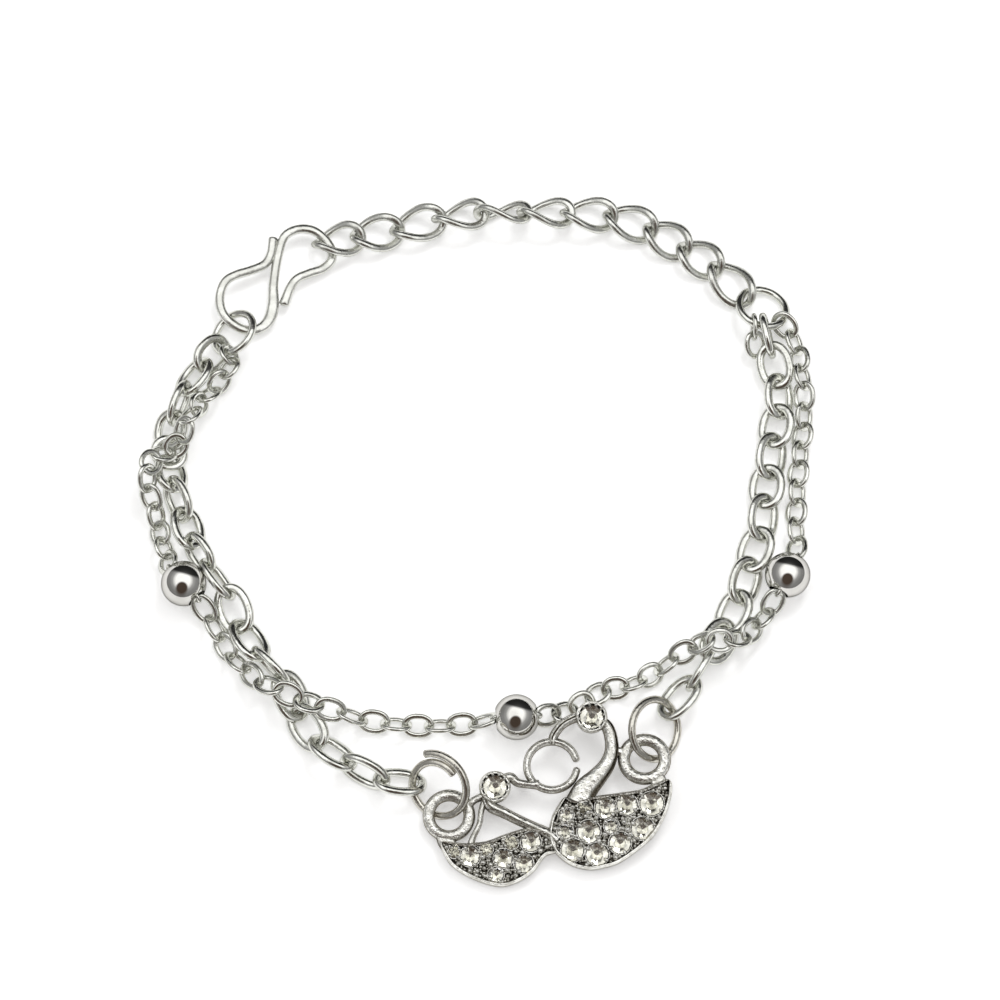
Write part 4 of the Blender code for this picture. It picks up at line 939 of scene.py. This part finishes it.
table = {"size": 6.0, "below": 2e-5, "tone": (0.92, 0.92, 0.92), "roughness": 0.9, "gloss": 0.1, "glow": 0.36}
mesh = bpy.data.meshes.new("whiteTable")
half, low = table["size"] / 2, -table["below"]
mesh.from_pydata([(-half, -half, low), (half, -half, low), (half, half, low), (-half, half, low)], [],
                 [(0, 1, 2, 3)])
floor = bpy.data.objects.new("whiteTable", mesh)
bpy.context.scene.collection.objects.link(floor)
tableMaterial, _, _, shader = newMaterial("whitePaper")
shader.inputs["Base Color"].default_value = (*table["tone"], 1)
shader.inputs["Roughness"].default_value = table["roughness"]
shader.inputs["Specular IOR Level"].default_value = table["gloss"]
shader.inputs["Emission Color"].default_value = (1, 1, 1, 1)
shader.inputs["Emission Strength"].default_value = table["glow"]
mesh.materials.append(tableMaterial)

studio = {
    "bands": [(0.0, 0.26), (0.35, 0.30), (0.60, 0.48), (0.72, 1.0), (0.82, 1.42), (1.0, 1.42)],
    "darkToward": (0.24, 0.97), "darkFrom": (0.48, 0.66), "darkShare": 0.08,
    "patchAt": (-0.08, -0.55), "patchHalf": (0.50, 0.43), "patchTone": (0.085, 0.062, 0.048),
    "patchEdge": (0.65, 1.25),
    "keyFrom": (0.10, 0.22, 0.34), "keySize": 0.14, "keyPower": 0.42,
    "fillFrom": (-0.30, -0.02, 0.22), "fillSize": 0.16, "fillPower": 0.14}
world = bpy.data.worlds.new("softStudio")
bpy.context.scene.world = world
world.use_nodes = True
nodes, links = world.node_tree.nodes, world.node_tree.links
background = nodes["Background"]
direction = nodes.new("ShaderNodeTexCoord").outputs["Generated"]
split = nodes.new("ShaderNodeSeparateXYZ")
links.new(direction, split.inputs["Vector"])
ramp = nodes.new("ShaderNodeValToRGB")  # brightness by height above the table
ramp.color_ramp.elements.remove(ramp.color_ramp.elements[1])
for k, (place, level) in enumerate(studio["bands"]):
    element = ramp.color_ramp.elements[0] if k == 0 else ramp.color_ramp.elements.new(place)
    element.position = place
    element.color = (level, level, level, 1)
links.new(split.outputs["Z"], ramp.inputs["Fac"])


def ranged(source, low, high, first, last):
    # A straight line from first to last while the source goes from low to high, and level outside.
    node = nodes.new("ShaderNodeMapRange")
    node.inputs["From Min"].default_value, node.inputs["From Max"].default_value = low, high
    node.inputs["To Min"].default_value, node.inputs["To Max"].default_value = first, last
    links.new(source, node.inputs["Value"])
    return node.outputs["Result"]


def combined(operation, *sources):
    # A sum or a product of node outputs.
    node = nodes.new("ShaderNodeMath")
    node.operation = operation
    for source, socket in zip(sources, node.inputs):
        links.new(source, socket)
    return node.outputs[0]


# the studio is dark toward the far right, and a soft dark patch hangs over the near side of the table: an ellipse,
# where distance squared = ((x - its x) / half width) squared + ((y - its y) / half length) squared
toward = [ranged(split.outputs[axis], -1.0, 1.0, -share, share) for axis, share in zip("XY", studio["darkToward"])]
farSide = ranged(combined("ADD", *toward), *studio["darkFrom"], 1.0, studio["darkShare"])
parts = []
for axis, at, half in zip("XY", studio["patchAt"], studio["patchHalf"]):
    share = ranged(split.outputs[axis], at - half, at + half, -1.0, 1.0)
    share.node.clamp = False
    parts.append(combined("MULTIPLY", share, share))
room = nodes.new("ShaderNodeMix")
room.data_type = "RGBA"
links.new(ranged(combined("ADD", *parts), *studio["patchEdge"], 0.0, 1.0), room.inputs["Factor"])
room.inputs["A"].default_value = (*studio["patchTone"], 1)
links.new(ramp.outputs["Color"], room.inputs["B"])
links.new(room.outputs["Result"], background.inputs["Color"])
links.new(farSide, background.inputs["Strength"])


def softLight(name, place, size, power):
    # A round softbox that faces the middle of the table and isn't seen in the metal.
    light = bpy.data.lights.new(name, "AREA")
    light.shape = "DISK"
    light.size = size
    light.energy = power
    lamp = bpy.data.objects.new(name, light)
    lamp.location = place
    lamp.rotation_euler = (-Vector(place)).to_track_quat("-Z", "Y").to_euler()
    lamp.visible_glossy = False
    bpy.context.scene.collection.objects.link(lamp)


softLight("keySoftbox", studio["keyFrom"], studio["keySize"], studio["keyPower"])
softLight("fillSoftbox", studio["fillFrom"], studio["fillSize"], studio["fillPower"])

view = {"target": (1.9, 3.4, 0.0), "distance": 375, "elevation": 72, "lens": 135, "sensor": 36, "clip": (0.01, 20)}
camera = bpy.data.cameras.new("overheadCamera")
camera.lens = view["lens"]
camera.sensor_width = view["sensor"]
camera.clip_start, camera.clip_end = view["clip"]
shot = bpy.data.objects.new("overheadCamera", camera)
bpy.context.scene.collection.objects.link(shot)
rise = radians(view["elevation"])
back = np.array([0.0, -np.cos(rise), np.sin(rise)])
shot.location = (np.array(view["target"]) + frameShift + view["distance"] * back) * mm
shot.rotation_euler = Vector(-back).to_track_quat("-Z", "Y").to_euler()
bpy.context.scene.camera = shot
bpy.context.scene.view_settings.view_transform = "Standard"
print("studio made")
